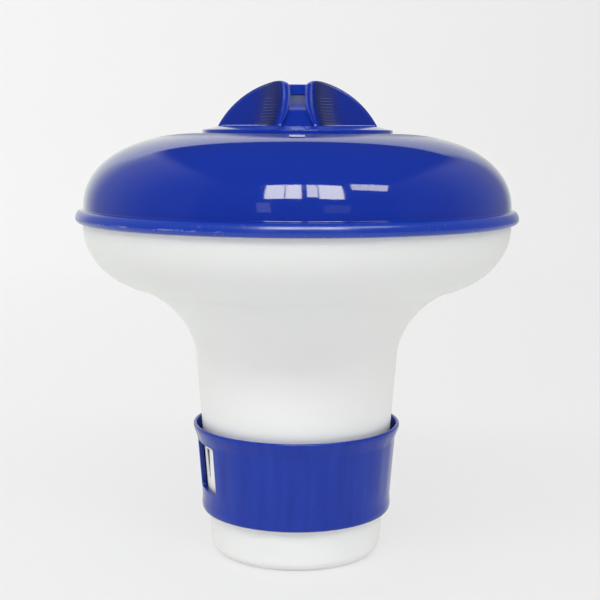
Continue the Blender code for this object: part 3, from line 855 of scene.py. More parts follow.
def copies_tree(tree, sizes):
    """Groups of copies of a piece, turned round the vertical axis, in the finish of what they shape."""
    single = tree.node("GeometryNodeGeometryToInstance", None, {"Geometry": sizes["Geometry"]})
    copies = tree.node(
        "GeometryNodeDuplicateElements",
        {"domain": "INSTANCE"},
        {"Geometry": single, "Amount": sizes["Groups"] * sizes["Copies"]},
    )
    index = copies.out("Duplicate Index")
    group_turn = index // sizes["Copies"] * sizes["Group pitch"]
    turn = sizes["First"] + group_turn + index % sizes["Copies"] * sizes["Pitch"]
    rotation = tree.node("ShaderNodeCombineXYZ", None, {"Z": turn})
    placed = tree.node("GeometryNodeRotateInstances", None, {"Instances": copies, "Rotation": rotation})
    whole = tree.node("GeometryNodeRealizeInstances", None, {"Geometry": placed})
    return tree.node("GeometryNodeSetMaterial", None, {"Geometry": whole, "Material": sizes["Finish"]})


def repeat_round(piece, finish, copies, pitch, first=0.0, groups=1):
    """Repeats a piece round the axis at a pitch in degrees, in groups that stand evenly round it."""
    sizes = {
        "Copies": copies,
        "Pitch": math.radians(pitch),
        "First": math.radians(first),
        "Groups": groups,
        "Group pitch": math.tau / groups,
        "Finish": finish,
    }
    grow(piece, "copies round the axis", sizes, copies_tree)


# White body and dome


def make_white_body(finish):
    body = turned("white_body", shell_profile(), closed=False)
    foot = RING_BOTTOM + SLIT_FOOT
    top = foot + SLIT_HEIGHT
    slits = block(
        "slits",
        (-SLIT_TOP_WIDTH / 2, -tube_radius(top) - CUT_SPARE, foot),
        (SLIT_TOP_WIDTH / 2, -tube_radius(foot) + SHELL_WALL + CUT_SPARE, top),
        foot_share=SLIT_FOOT_WIDTH / SLIT_TOP_WIDTH,
    )
    repeat_round(slits, finish, SLIT_COUNT, SLIT_PITCH, SLIT_AZIMUTH, WINDOW_COUNT)
    combine(body, "DIFFERENCE", [slits])
    shade(body)
    return body


def make_blue_dome(finish):
    dome = turned("blue_dome", dome_profile())
    half_way = LUG_WIDTH / 2 + LUG_SIDE_FIT
    ways_in = block(
        "lug_ways",
        (-half_way, -LUG_OUTER - FIT, THROAT_BOTTOM - CUT_SPARE),
        (half_way, -THROAT + CUT_SPARE, GROOVE_BOTTOM + SEAL_SECTION),
    )
    repeat_round(ways_in, finish, LUG_COUNT, 360 / LUG_COUNT)
    combine(dome, "DIFFERENCE", [ways_in])
    tab = block(
        "index_tab",
        (-TAB_WIDTH / 2, -TAB_RADIUS, CROWN - SHELL_WALL),
        (TAB_WIDTH / 2, TAB_LENGTH - TAB_RADIUS, CROWN - TAB_DROP),
        lean=TAB_LEAN,
        rounding=TAB_ROUND,
    )
    combine(dome, "UNION", [tab])
    shade(dome)
    return dome


# Lid: the sizes down to scoop_depth are worked out for numbers and for node sockets alike


def rise_share(height):
    return (height - DISC_TOP) / GRIP_RISE


def waist(share):
    bend = share / GRIP_WAIST - 1
    return bend * bend


def ridge_width(share):
    return RIDGE_WAIST + RIDGE_FLARE * waist(share)


def slot_width(share):
    return SLOT_WAIST + SLOT_FLARE * waist(share)


def hub_depth(share):
    return HUB_TOP + (HUB_FOOT - HUB_TOP) * (1 - share) * (1 - share)


def scoop_depth(x, share):
    """Half thickness of the grip outside its lips: a steep wall, then a slow slope to the end."""
    reach = (GRIP_END - x) / (GRIP_END - ridge_width(share))
    fall = SCOOP_WALL * reach**SCOOP_WALL_POWER + (1 - SCOOP_WALL) * reach**SCOOP_POWER
    return BLADE_HALF + (hub_depth(share) - BLADE_HALF) * fall


def smooth_least(a, b, rounding):
    """The smaller of two values, with the corner between them rounded."""
    blend = max(rounding - abs(a - b), 0) / rounding
    return min(a, b) - blend * blend * rounding / 4


def round_edge(depth, rounding, inset):
    """A depth that rounds off towards an edge, at a distance from that edge."""
    rounding = min(rounding, depth)
    inset = max(0, min(inset, rounding))
    return depth - rounding + math.sqrt(rounding**2 - (rounding - inset) ** 2)


def web_depth(height):
    """Half thickness inside the slot: the web, the pocket that slopes back above it, then the bar."""
    if height > BAR_BOTTOM:
        bar = BAR_HALF - BAR_LEAN * (height - BAR_BOTTOM)
        return round_edge(bar, BAR_EDGE, min(height - BAR_BOTTOM, BAR_TOP - height))
    above = max(0, height - DISC_TOP)
    web = WEB_HALF + WEB_FLARE * max(0, 1 - above / WEB_FLARE_RISE) ** 2
    return smooth_least(web, WEB_TOP_HALF + WEB_SLOPE * (BAR_BOTTOM - height), WEB_ROUND)


def lip_depth(x, height, slot):
    """Half thickness outside the slot, rounded along its edges and filleted at its foot."""
    share = max(0, rise_share(height))
    depth = smooth_least(hub_depth(share), scoop_depth(min(x, GRIP_END), share), RIDGE_ROUND)
    above = max(0, height - DISC_TOP)
    if above < GRIP_FILLET:
        depth += GRIP_FILLET - math.sqrt(GRIP_FILLET**2 - (GRIP_FILLET - above) ** 2)
    depth = round_edge(depth, LIP_EDGE, x - slot - SLOT_WALL)
    outline = GRIP_RADIUS - math.hypot(x, height - GRIP_CENTRE)
    return round_edge(depth, GRIP_EDGE, min(outline, GRIP_TOP - height))


def spread(count):
    """Shares from 0 to 1 that crowd towards both ends."""
    return [(1 - math.cos(math.pi * i / count)) / 2 for i in range(count + 1)]


def between(low, high, shares):
    return [low + (high - low) * share for share in shares]


def even(count):
    """Even shares that end at 1 and leave out 0."""
    return [i / count for i in range(1, count + 1)]


def grip_levels():
    """Heights up the grip, as pairs: in the slot and outside it."""
    fillet_top = DISC_TOP + GRIP_FILLET
    heights = [DISC_TOP - GRIP_ROOT, DISC_TOP]
    heights += between(DISC_TOP, fillet_top, even(FILLET_ROWS))
    heights += between(fillet_top, BAR_BOTTOM, even(WEB_ROWS))
    shares = spread(BAR_ROWS)
    bar = zip(between(BAR_BOTTOM, BAR_TOP, shares), between(BAR_BOTTOM, GRIP_TOP, shares))
    return [(height, height) for height in heights] + list(bar)[1:]


def grip_row(in_slot, outside):
    """Points of one level from the middle outwards, as (x, half thickness, height)."""
    share = max(0, rise_share(outside))
    slot = slot_width(share)
    ridge = ridge_width(share)
    end = math.sqrt(GRIP_RADIUS**2 - (max(outside, DISC_TOP) - GRIP_CENTRE) ** 2)
    wall_end = ridge + min(SCOOP_WALL_RUN, (end - ridge) / 2)
    row = [(x, web_depth(in_slot), in_slot) for x in between(0, slot, [0] + even(SLOT_COLUMNS))]
    lip = slot + SLOT_WALL
    columns = [lip]
    columns += between(lip, lip + LIP_EDGE, even(LIP_COLUMNS))
    columns += between(lip + LIP_EDGE, ridge, even(LIP_COLUMNS))
    columns += between(ridge, wall_end, even(SCOOP_WALL_COLUMNS))
    columns += between(wall_end, end, spread(SCOOP_COLUMNS)[1:])
    for x in columns:
        climb = min(1, (x - slot) / LIP_ROUND)
        top = in_slot + (outside - in_slot) * climb * (2 - climb)
        drop = GRIP_DROP * share**GRIP_DROP_POWER * (max(0, x - lip) / (end - lip)) ** 2
        row.append((x, lip_depth(x, outside, slot), top - drop))
    return row


def make_grip():
    """The grip as two sheets, front and back, closed along their borders."""
    shape = bmesh.new()
    sheets = {-1: [], 1: []}
    for in_slot, outside in grip_levels():
        half = grip_row(in_slot, outside)
        row = [(-x, depth, height) for x, depth, height in half[:0:-1]] + half
        for side, sheet in sheets.items():
            sheet.append([shape.verts.new((x, side * depth, height)) for x, depth, height in row])
    front, back = sheets[-1], sheets[1]
    last = len(front[0]) - 1
    for low in range(len(front) - 1):
        high = low + 1
        for i in range(last):
            for sheet in (front, back):
                shape.faces.new((sheet[low][i], sheet[low][i + 1], sheet[high][i + 1], sheet[high][i]))
        for i in (0, last):
            shape.faces.new((front[low][i], front[high][i], back[high][i], back[low][i]))
    for level in (0, -1):
        for i in range(last):
            shape.faces.new((front[level][i], front[level][i + 1], back[level][i + 1], back[level][i]))
    return new_piece("grip", tidy(shape))


def make_twist_lid(finish):
    lid = turned("twist_lid", lid_profile(), closed=False)
    lugs = block(
        "lugs",
        (-LUG_WIDTH / 2, -LUG_OUTER, SPIGOT_BOTTOM),
        (LUG_WIDTH / 2, -SPIGOT_OUTER + SPIGOT_WALL / 2, SPIGOT_BOTTOM + LUG_HEIGHT),
        rounding=LUG_ROUND,
    )
    repeat_round(lugs, finish, LUG_COUNT, 360 / LUG_COUNT)
    combine(lid, "UNION", [lugs, make_grip()])
    shade(lid)
    return lid


def rib_tree(tree, sizes):
    """Fine ribs that follow the four scoops: one line a rib, laid on its scoop and swept as a round bar."""
    line = tree.node("GeometryNodeCurvePrimitiveLine")
    points = tree.node("GeometryNodeResampleCurve", None, {"Curve": line, "Count": sizes["Points"]})
    copies = tree.node(
        "GeometryNodeDuplicateElements",
        {"domain": "SPLINE"},
        {"Geometry": points, "Amount": sizes["Ribs"] * SCOOP_COUNT},
    )
    index = copies.out("Duplicate Index")
    x_side = index % 2 * 2 - 1
    y_side = index % SCOOP_COUNT // 2 * 2 - 1
    height = sizes["First"] + index // SCOOP_COUNT * sizes["Pitch"]
    share = rise_share(height)
    along = tree.node("GeometryNodeSplineParameter")
    x = ridge_width(share) + sizes["Start"] + along * sizes["Run"]
    y = scoop_depth(x, share) - sizes["Sink"] - along * along * sizes["Fade"]
    place = tree.node("ShaderNodeCombineXYZ", None, {"X": x * x_side, "Y": y * y_side, "Z": height})
    laid = tree.node("GeometryNodeSetPosition", None, {"Geometry": copies, "Position": place})
    section = tree.node(
        "GeometryNodeCurvePrimitiveCircle",
        None,
        {"Resolution": sizes["Sides"], "Radius": sizes["Radius"]},
    )
    bars = tree.node(
        "GeometryNodeCurveToMesh", None, {"Curve": laid, "Profile Curve": section, "Fill Caps": True}
    )
    smooth = tree.node("GeometryNodeSetShadeSmooth", None, {"Geometry": bars})
    whole = tree.node("GeometryNodeRealizeInstances", None, {"Geometry": smooth})
    return tree.node("GeometryNodeSetMaterial", None, {"Geometry": whole, "Material": sizes["Finish"]})


def make_grip_ribs(finish):
    ribs = new_piece("grip_ribs", bmesh.new())
    sizes = {
        "Ribs": RIB_COUNT,
        "Points": RIB_POINTS,
        "Sides": RIB_SIDES,
        "First": DISC_TOP + RIB_FIRST,
        "Pitch": RIB_PITCH,
        "Start": RIB_START,
        "Run": RIB_RUN,
        "Radius": RIB_RADIUS,
        "Sink": RIB_SINK,
        "Fade": RIB_FADE,
        "Finish": finish,
    }
    grow(ribs, "grip ribs", sizes, rib_tree)
    return ribs


# Flow ring, with heights above its lower edge


def ring_inner(height):
    return tube_radius(RING_BOTTOM + height) + RING_FIT


def ring_outer(height):
    return ring_inner(height) + RING_WALL


def ring_rows():
    """Outside from the top down, then inside from the foot up, with matching rows across the windows."""
    window = [WINDOW_FOOT + WINDOW_HEIGHT * i / WINDOW_ROWS for i in range(WINDOW_ROWS + 1)]
    lip = ring_outer(RING_HEIGHT) + RING_LIP
    lip_foot = RING_HEIGHT - RING_LIP_HEIGHT
    bead_middle = RING_BEAD_HEIGHT / 2
    top = rounded(
        [
            (ring_inner(RING_HEIGHT) + RING_FLARE, RING_HEIGHT, RING_EDGE),
            (lip, RING_HEIGHT, RING_LIP_ROUND),
            (ring_outer(lip_foot), lip_foot),
            (ring_inner(lip_foot), lip_foot),
        ]
    )[: 2 * (CORNER_STEPS + 1)]
    lip_side = bezier(
        (lip, RING_HEIGHT - RING_LIP_ROUND),
        (lip, RING_HEIGHT - 2 * RING_LIP_ROUND),
        (ring_outer(lip_foot), lip_foot + RING_LIP_ROUND),
        (ring_outer(lip_foot), lip_foot),
        CORNER_STEPS,
    )
    bead = ring_outer(bead_middle) + RING_BEAD
    bead_top = 2 * RING_BEAD_HEIGHT
    foot = bezier(
        (ring_outer(bead_top), bead_top),
        (ring_outer(RING_BEAD_HEIGHT), RING_BEAD_HEIGHT),
        (bead, RING_BEAD_HEIGHT),
        (bead, bead_middle),
        CORNER_STEPS,
    )
    under_radii = (bead - ring_outer(0), bead_middle)
    foot += ellipse_arc((ring_outer(0), bead_middle), under_radii, 0, -90, CORNER_STEPS)[1:]
    groove_top = RETAINER_HEIGHT + RETAINER_WIDTH / 2 + FIT
    groove_foot = RETAINER_HEIGHT - RETAINER_WIDTH / 2 - FIT
    groove = tube_radius(RING_BOTTOM + RETAINER_HEIGHT) + RETAINER_REACH + FIT
    inner_foot = [
        (ring_inner(0), 0),
        (ring_inner(groove_foot), groove_foot),
        (groove, groove_foot),
        (groove, groove_top),
        (ring_inner(groove_top), groove_top),
    ]
    outside = top + lip_side[1:] + [(ring_outer(height), height) for height in window[::-1]] + foot
    inside = inner_foot + [(ring_inner(height), height) for height in window]
    first_out = len(top) + len(lip_side) - 1
    first_in = len(outside) + len(inner_foot)
    return outside + inside, first_out, first_in


def ring_columns():
    """Angles round the ring, from the front towards +X, with a column on each jamb of its windows."""
    half = math.asin(WINDOW_WIDTH / 2 / ring_outer(WINDOW_FOOT + WINDOW_HEIGHT / 2))
    plain = math.tau / WINDOW_COUNT - 2 * half
    angles = []
    for i in range(WINDOW_COUNT):
        middle = math.radians(WINDOW_AZIMUTH) + math.tau / WINDOW_COUNT * i
        angles += [middle - half + 2 * half * k / WINDOW_COLUMNS for k in range(WINDOW_COLUMNS)]
        angles += [middle + half + plain * k / RING_COLUMNS for k in range(RING_COLUMNS)]
    return angles


def ripple(angle):
    return RING_RIPPLE * sum(share * math.sin(count * angle + phase) for count, phase, share in RING_WAVES)


def make_flow_ring():
    rows, first_out, first_in = ring_rows()
    last_out = first_out + WINDOW_ROWS
    last_in = first_in + WINDOW_ROWS
    shape = bmesh.new()
    corner_weight = shape.edges.layers.float.new("bevel_weight_edge")
    columns = []
    for angle in ring_columns():
        column = []
        for k, (radius, height) in enumerate(rows):
            if first_out - CORNER_STEPS < k <= last_out:
                radius += ripple(angle)
            place = (radius * math.sin(angle), -radius * math.cos(angle), RING_BOTTOM + height)
            column.append(shape.verts.new(place))
        columns.append(column)
    period = WINDOW_COLUMNS + RING_COLUMNS
    for c, column in enumerate(columns):
        after = columns[(c + 1) % len(columns)]
        open_here = c % period < WINDOW_COLUMNS
        for k in range(len(rows)):
            in_window = first_out <= k < last_out or first_in <= k < last_in
            if not (open_here and in_window):
                m = (k + 1) % len(rows)
                shape.faces.new((column[k], column[m], after[m], after[k]))
        if open_here:
            for outer, inner in ((first_out, last_in), (last_out, first_in)):
                shape.faces.new((column[outer], after[outer], after[inner], column[inner]))
        if c % period in (0, WINDOW_COLUMNS):
            for k in range(WINDOW_ROWS):
                outer, inner = first_out + k, last_in - k
                shape.faces.new((column[outer], column[outer + 1], column[inner - 1], column[inner]))
            for outer, inner in ((first_out, last_in), (last_out, first_in)):
                shape.edges.get((column[outer], column[inner]))[corner_weight] = 1
    ring = new_piece("flow_ring_skin", tidy(shape))
    corners = ring.modifiers.new("window corners", "BEVEL")
    corners.limit_method = "WEIGHT"
    corners.width = WINDOW_CORNER
    corners.segments = CORNER_STEPS
    rims = ring.modifiers.new("window rims", "BEVEL")
    rims.limit_method = "ANGLE"
    rims.angle_limit = WINDOW_EDGE_ANGLE
    rims.width = WINDOW_EDGE
    rims.segments = WINDOW_EDGE_STEPS
    keep_result(ring)
    shade(ring)
    return ring


# Seals


def make_round_seal(name, low, high):
    section = (high.z - low.z) / 2
    profile = ellipse_arc((high.x - section, low.z + section), (section, section), 0, 360, SEAL_SIDES)[:-1]
    seal = turned(name, profile)
    shade(seal)
    return seal


def make_flat_gasket():
    low, high = GASKET_LOW.z, GASKET_HIGH.z
    inner, outer = RIM_RADIUS - SHELL_WALL, GASKET_HIGH.x
    rounding = (high - low) * GASKET_ROUND
    corners = [(outer, high), (outer, low), (inner, low), (inner, high)]
    gasket = turned("rim_gasket_band", rounded([(*corner, rounding) for corner in corners]))
    shade(gasket)
    return gasket


# Finishes


def new_finish(name, paint):
    """A material whose Principled shader takes what paint returns."""
    material = bpy.data.materials.new(name)
    material.use_nodes = True
    tree = Tree(material.node_tree)
    shader = material.node_tree.nodes["Principled BSDF"]
    for socket, value in paint(tree).items():
        tree.feed(shader.inputs[socket], value)
    return material


def white_polypropylene(tree):
    """Soft white, darker in the slits, with painted shade at the rim and painted contact shadow at the
    foot.
    """
    place = tree.place()
    cloud = tree.noise(place, WHITE_CLOUD_SCALE, detail=3)
    grain = tree.noise(place, WHITE_GRAIN_SCALE)
    height = tree.node("ShaderNodeSeparateXYZ", None, {"Vector": place}).out("Z")
    radius = tree.length(tree.scaled(place, (1, 1, 0)))
    slit_foot = RING_BOTTOM + SLIT_FOOT
    slit_top = slit_foot + SLIT_HEIGHT
    # darker brown inside the slits and on the tube's inner wall at their height
    inside = tree.step(tube_radius(height) - radius, *SLIT_DARK_DEPTH)
    inside = inside * tree.step(height, slit_foot - SLIT_TOP_WIDTH, slit_foot)
    slit_darkened = inside * tree.step(-height, -slit_top - SLIT_TOP_WIDTH, -slit_top)
    # painted contact shadow: a thin grey line round the foot's rounded edge
    contact_shadow = tree.step(-height, -FOOT_SHADOW_LINE, -FOOT_SHADOW_LINE / 2)
    contact_shadow = contact_shadow * tree.step(radius, TUBE_FOOT - TUBE_EDGE, TUBE_FOOT - TUBE_EDGE / 2)
    white = tree.mix(cloud, *WHITE_SHADES)
    # painted shade: greyer towards the float's rim
    white = tree.mix(tree.step(height, NECK_HEIGHT, RIM_TOP) * FLOAT_PAINTED_SHADE_SHARE, white, FLOAT_PAINTED_SHADE)
    white = tree.mix(contact_shadow, white, FOOT_SHADOW_COLOUR)
    return {
        "Base Color": tree.mix(slit_darkened * SLIT_DARK_SHARE, white, SLIT_DARK_COLOUR),
        "Roughness": WHITE_ROUGHNESS + grain * WHITE_GRAIN_ROUGHNESS + cloud * WHITE_CLOUD_ROUGHNESS,
        "Normal": tree.bump(grain + cloud * WHITE_CLOUD_RELIEF, WHITE_RELIEF),
        "IOR": POLYPROPYLENE_IOR,
    }


def glossy_blue(tree):
    """Glossy blue with fine dust, rubbed matt round the lid and worn pale along the bead's seam."""
    place = tree.place()
    parts = tree.node("ShaderNodeSeparateXYZ", None, {"Vector": place})
    flow = tree.noise(tree.scaled(place, DOME_FLOW_STRETCH), DOME_FLOW_SCALE, detail=3)
    dust = tree.step(tree.noise(place, DUST_SCALE, detail=4, roughness=0.65), *DUST_LEVELS)
    waves = tree.noise(place, DOME_WAVE_SCALE, detail=1)
    chips = tree.noise(tree.scaled(place, SEAM_WEAR_STRETCH), SEAM_WEAR_SCALE, detail=4, roughness=0.7)
    seam = 1 - tree.step(abs(parts.out("Z") - SEAM_HEIGHT), SEAM_WIDTH / 2, SEAM_WIDTH)
    handled = tree.step(-parts.out("X"), *SEAM_WEAR_SIDE)
    worn = tree.step(chips, *SEAM_WEAR_LEVELS) * seam * handled
    on_bead = tree.step(-parts.out("Z"), -BEAD_TOP, BEAD_CREASE - BEAD_TOP)
    radius = tree.length(tree.scaled(place, (1, 1, 0)))
    rubbed = tree.step(-radius, -TAB_RADIUS - RUB_FADE, -LID_RADIUS - RUB_FADE)
    blue = tree.mix(flow, *DOME_SHADES)
    blue = tree.mix(on_bead, blue, BEAD_COLOUR)
    matt = dust * DUST_ROUGHNESS + on_bead * BEAD_ROUGHNESS + worn * SEAM_WEAR_ROUGHNESS
    return {
        "Base Color": tree.mix(worn * SEAM_WEAR_SHARE, blue, SEAM_WEAR_COLOUR),
        "Roughness": DOME_ROUGHNESS + matt + rubbed * RUB_ROUGHNESS,
        "Normal": tree.bump(waves + worn * SEAM_WEAR_RELIEF, DOME_RELIEF),
        "IOR": BLUE_IOR,
    }


def lid_blue(tree):
    """Semi-gloss blue; scoops matt with painted shade, under the bar matt with dust and painted sheen;
    painted lip highlights.
    """
    place = tree.place()
    flow = tree.noise(place, LID_FLOW_SCALE, detail=3)
    grain = tree.noise(place, LID_GRAIN_SCALE, detail=3)
    parts = tree.node("ShaderNodeSeparateXYZ", None, {"Vector": place})
    x, z = abs(parts.out("X")), parts.out("Z")
    share = rise_share(z)
    slot = slot_width(share)
    in_slot = tree.step(slot - x, 0, SLOT_WALL) * tree.step(BAR_BOTTOM - z, 0, SLOT_WALL)
    pocket = in_slot * tree.step(z, POCKET_FOOT - POCKET_SOFTNESS * WEB_ROUND, POCKET_FOOT)
    # dust and painted sheen: the pocket under the bar turns greyer
    dust_and_sheen = in_slot * tree.step(z, POCKET_FOOT - WEB_ROUND, POCKET_FOOT + WEB_ROUND)
    past_ridge = x - ridge_width(share)
    # painted shade: the scoops beside the lips take darker tones, and the same mask makes them matt
    clear = tree.step(past_ridge, *SCOOP_CLEAR) * SCOOP_CLEAR_SHARE
    matt = tree.step(past_ridge, *SCOOP_MATT_AND_SHADE) * (1 - clear)
    matt = matt * tree.step(z, DISC_TOP, DISC_TOP + GRIP_FILLET)
    # painted highlights: rubbed and worn here mark pale broken lines along the lips' edges, standing for
    # reflected light
    off_edge = tree.least(abs(past_ridge), abs(x - slot - LIP_EDGE))
    rubbed = 1 - tree.step(off_edge, *LIP_HIGHLIGHT_REACH)
    rubbed = rubbed * tree.step(z, DISC_TOP + GRIP_FILLET, BAR_BOTTOM)
    worn = rubbed * tree.step(tree.noise(place, LIP_HIGHLIGHT_SCALE, detail=3), *LIP_HIGHLIGHT_LEVELS)
    blue = tree.mix(flow, *LID_SHADES)
    blue = tree.mix(matt, blue, tree.mix(grain, *SCOOP_PAINTED_SHADES))
    blue = tree.mix(dust_and_sheen * POCKET_DUST_AND_SHEEN_SHARE, blue, POCKET_DUST_AND_SHEEN_COLOUR)
    roughness = LID_ROUGHNESS + grain * LID_GRAIN_ROUGHNESS
    return {
        "Base Color": tree.mix(worn * LIP_HIGHLIGHT_SHARE, blue, LIP_HIGHLIGHT_COLOUR),
        "Roughness": roughness + pocket * POCKET_ROUGHNESS + matt * SCOOP_ROUGHNESS,
        "Normal": tree.bump(grain * LID_GRAIN_RELIEF + flow, LID_RELIEF),
        "IOR": BLUE_IOR,
    }


def ring_blue(tree):
    """Satin blue with streaks that run up the ring, and painted shade on its inside and window jambs."""
    place = tree.place()
    level = tree.scaled(place, (1, 1, 0))
    round_it = tree.node("ShaderNodeVectorMath", {"operation": "NORMALIZE"}, {0: level})
    lifted = tree.scaled(place, STREAK_LIFT)
    drawn = tree.node("ShaderNodeVectorMath", {"operation": "ADD"}, {0: round_it, 1: lifted})
    streaks = tree.noise(drawn, STREAK_SCALE, detail=3, roughness=0.55)
    grain = tree.noise(place, RING_GRAIN_SCALE, detail=3)
    height = tree.node("ShaderNodeSeparateXYZ", None, {"Vector": place}).out("Z") - RING_BOTTOM
    # painted shade: darker on the ring's inside and the jambs of its windows
    inside = tree.step(ring_outer(height) - tree.length(level), *RING_PAINTED_SHADE_DEPTH)
    blue = tree.mix(streaks, *RING_SHADES)
    return {
        "Base Color": tree.mix(inside * RING_PAINTED_SHADE_SHARE, blue, RING_PAINTED_SHADE_COLOUR),
        "Roughness": RING_ROUGHNESS + grain * RING_GRAIN_ROUGHNESS + streaks * STREAK_ROUGHNESS,
        "Normal": tree.bump(streaks + grain * RING_GRAIN_RELIEF, RING_RELIEF),
        "Specular IOR Level": RING_SPECULAR,
    }


def black_rubber(tree):
    """Black rubber with a grey bloom."""
    place = tree.place()
    bloom = tree.noise(place, RUBBER_BLOOM_SCALE, detail=4)
    grain = tree.noise(place, RUBBER_GRAIN_SCALE)
    return {
        "Base Color": tree.mix(bloom, *RUBBER_SHADES),
        "Roughness": RUBBER_ROUGHNESS + grain * RUBBER_GRAIN_ROUGHNESS,
        "Normal": tree.bump(grain, RUBBER_RELIEF),
    }


# Stage, light and camera


def sweep_finish():
    """Matt paper that fades out towards its sides and top. To the camera it glows a little."""
    material = bpy.data.materials.new("backdrop paper")
    material.use_nodes = True
    tree = Tree(material.node_tree)
    parts = tree.node("ShaderNodeSeparateXYZ", None, {"Vector": tree.place()})
    x, y, z = parts.out("X"), parts.out("Y"), parts.out("Z")
    left, right = SWEEP_SIDES
    half = SWEEP_FADE / 2
    there = tree.step(x, left - half, left + half) * tree.step(-x, -right - half, half - right)
    there = there * tree.step(-z, -SWEEP_TOP, SWEEP_FADE / 4 - SWEEP_TOP)
    paper = tree.node("ShaderNodeBsdfDiffuse", None, {"Color": SWEEP_COLOUR})
    path = tree.node("ShaderNodeLightPath")
    gloss = path.out("Is Glossy Ray")
    brightness = SWEEP_SEEN - x * SWEEP_TILT - (1 - tree.step(y, 0, SWEEP_BACK)) * SWEEP_NEAR_DROP
    brightness = brightness + gloss * (SWEEP_GLOSS - x * SWEEP_GLOSS_TILT)
    tint = tree.mix(gloss, PLAIN_LIGHT, WALL_COLOUR)
    glow = tree.node("ShaderNodeEmission", None, {"Color": tint, "Strength": brightness})
    seen = path.out("Is Camera Ray") + gloss
    look = tree.node("ShaderNodeMixShader", None, {0: seen * SWEEP_GLOW, 1: paper, 2: glow})
    nothing = tree.node("ShaderNodeBsdfTransparent")
    mixed = tree.node("ShaderNodeMixShader", None, {0: there, 1: nothing, 2: look})
    tree.feed(material.node_tree.nodes["Material Output"].inputs["Surface"], mixed)
    return material


def make_sweep():
    """Pale paper that lies under the object and bends up behind it."""
    line = [(SWEEP_FRONT, 0)] + [
        (SWEEP_BACK + y, SWEEP_BEND + z)
        for y, z in ellipse_arc((-SWEEP_BEND, 0), (SWEEP_BEND, SWEEP_BEND), -90, 0, CURVE_STEPS)
    ]
    line.append((SWEEP_BACK, SWEEP_TOP))
    sides = (SWEEP_SIDES[0] - SWEEP_FADE, SWEEP_SIDES[1] + SWEEP_FADE)
    shape = bmesh.new()
    left, right = [[shape.verts.new((x, y, z)) for y, z in line] for x in sides]
    for i in range(len(line) - 1):
        shape.faces.new((left[i], right[i], right[i + 1], left[i + 1]))
    sweep = new_piece("backdrop", shape)
    sweep.data.shade_smooth()
    sweep.data.materials.append(sweep_finish())


def side_wall(tree, x, y, z, side, rise, gloss, glow, far_glow, far_start):
    """How bright glossy plastic shows a side wall, by the direction in which it looks."""
    outwards = x * side
    there = tree.step(outwards * rise - z, 0, WALL_TOP_FADE)
    there = there * tree.step(y + outwards * WALL_FRONT, 0, WALL_FRONT_FADE)
    far = tree.step(y, far_start, WALL_FAR_END)
    return there * (gloss + tree.step(y, *WALL_PALING) * glow + far * far_glow)


def make_room():
    """An even light from all round that glossy plastic sees as a dark room with paler side walls."""
    world = bpy.data.worlds.new("room")
    bpy.context.scene.world = world
    world.use_nodes = True
    world.cycles.sampling_method = "NONE"
    tree = Tree(world.node_tree)
    direction = tree.node("ShaderNodeTexCoord", output="Generated")
    parts = tree.node("ShaderNodeSeparateXYZ", None, {"Vector": direction})
    x, y, z = parts.out("X"), parts.out("Y"), parts.out("Z")
    walls = side_wall(tree, x, y, z, **LEFT_WALL) + side_wall(tree, x, y, z, **RIGHT_WALL)
    reflected = walls + ROOM_GLOSS
    path = tree.node("ShaderNodeLightPath")
    seen = path.out("Is Camera Ray")
    gloss = path.out("Is Glossy Ray")
    background = world.node_tree.nodes["Background"]
    tree.feed(background.inputs["Color"], tree.mix(gloss, PLAIN_LIGHT, WALL_COLOUR))
    fill = ROOM_FILL - x * ROOM_TILT + (x * x - y * y) * ROOM_SIDES
    strength = seen * ROOM_SEEN + gloss * reflected + (1 - seen - gloss) * fill
    tree.feed(background.inputs["Strength"], strength)


def make_panel(name, centre, aim, size, radiance, roll=0.0):
    """A flat rectangular light, given by how bright it looks."""
    light = bpy.data.lights.new(name, "AREA")
    light.shape = "RECTANGLE"
    light.size, light.size_y = size
    light.energy = radiance * math.pi * size[0] * size[1]
    panel = bpy.data.objects.new(name, light)
    bpy.context.scene.collection.objects.link(panel)
    panel.location = centre
    turn = Vector(aim).to_track_quat("-Z", "Y") @ Quaternion((0, 0, 1), roll)
    panel.rotation_euler = turn.to_euler()
    panel.visible_camera = False
    return panel


def make_key():
    """Wide soft light from above the front that reflections do not show."""
    azimuth = math.radians(KEY_AZIMUTH)
    elevation = math.radians(KEY_ELEVATION)
    level = math.cos(elevation)
    away = Vector((level * math.sin(azimuth), -level * math.cos(azimuth), math.sin(elevation)))
    key = make_panel("key", away * KEY_DISTANCE, -away, KEY_SIZE, KEY_RADIANCE)
    key.visible_glossy = False


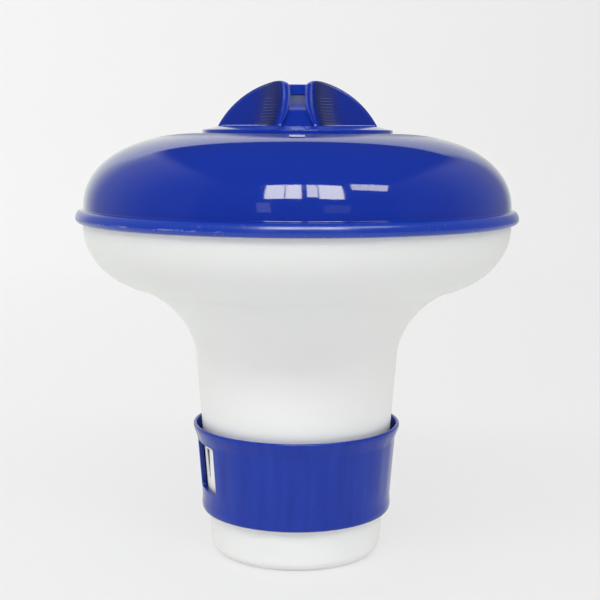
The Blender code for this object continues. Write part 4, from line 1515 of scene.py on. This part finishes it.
def make_window():
    """Tall panes in front and above, seen only as reflections."""
    away = Vector((0, -math.cos(PANE_TILT), math.sin(PANE_TILT)))
    up = Vector((0, math.sin(PANE_TILT), math.cos(PANE_TILT)))
    panes = []
    for i, (left, right, foot, head, radiance) in enumerate(PANES):
        middle = away + Vector(((left + right) / 2, 0, 0)) + up * (foot + head) / 2
        size = ((right - left) * PANE_DISTANCE, (head - foot) * PANE_DISTANCE)
        panes.append(make_panel(f"pane_{i}", PANE_TARGET + middle * PANE_DISTANCE, -away, size, radiance))
    side = PANE_TARGET - Vector(SIDE_PANE_AIM) * PANE_DISTANCE
    panes.append(
        make_panel("side_pane", side, SIDE_PANE_AIM, SIDE_PANE_SIZE, SIDE_PANE_RADIANCE, SIDE_PANE_ROLL)
    )
    for pane in panes:
        pane.visible_diffuse = False
        pane.data.color = PANE_COLOUR


def make_camera():
    lens = bpy.data.cameras.new("camera")
    lens.lens = CAMERA_LENS
    lens.sensor_width = CAMERA_SENSOR
    camera = bpy.data.objects.new("camera", lens)
    bpy.context.scene.collection.objects.link(camera)
    camera.location = CAMERA_PLACE
    turn = Quaternion((1, 0, 0), CAMERA_PITCH) @ Quaternion((0, 0, 1), CAMERA_ROLL)
    camera.rotation_euler = turn.to_euler()
    bpy.context.scene.camera = camera


def make_object():
    white = new_finish("white polypropylene", white_polypropylene)
    dome_paint = new_finish("glossy blue", glossy_blue)
    lid_paint = new_finish("semi-gloss blue", lid_blue)
    ring_paint = new_finish("satin blue", ring_blue)
    rubber = new_finish("black rubber", black_rubber)
    dress(make_white_body(white), white, "float", "white_shell", "body_shell")
    dress(make_blue_dome(dome_paint), dome_paint, "float", "dome_blue", "float_dome")
    dress(make_twist_lid(lid_paint), lid_paint, "lid", "lid_blue", "lid")
    dress(make_grip_ribs(lid_paint), lid_paint, "lid", "lid_blue")
    dress(make_flow_ring(), ring_paint, "flow_ring", "ring_blue", "flow_ring")
    lid_seal = make_round_seal("lid_seal_ring", LID_SEAL_LOW, LID_SEAL_HIGH)
    dress(lid_seal, rubber, "lid_seal", "seal_rubber", "lid_seal")
    neck_seal = make_round_seal("neck_seal_ring", NECK_SEAL_LOW, NECK_SEAL_HIGH)
    dress(neck_seal, rubber, "float", "seal_rubber", "neck_seal")
    dress(make_flat_gasket(), rubber, "float", "seal_rubber", "rim_gasket")


make_object()
make_sweep()
make_room()
make_key()
make_window()
make_camera()
bpy.context.scene.view_settings.view_transform = "Standard"
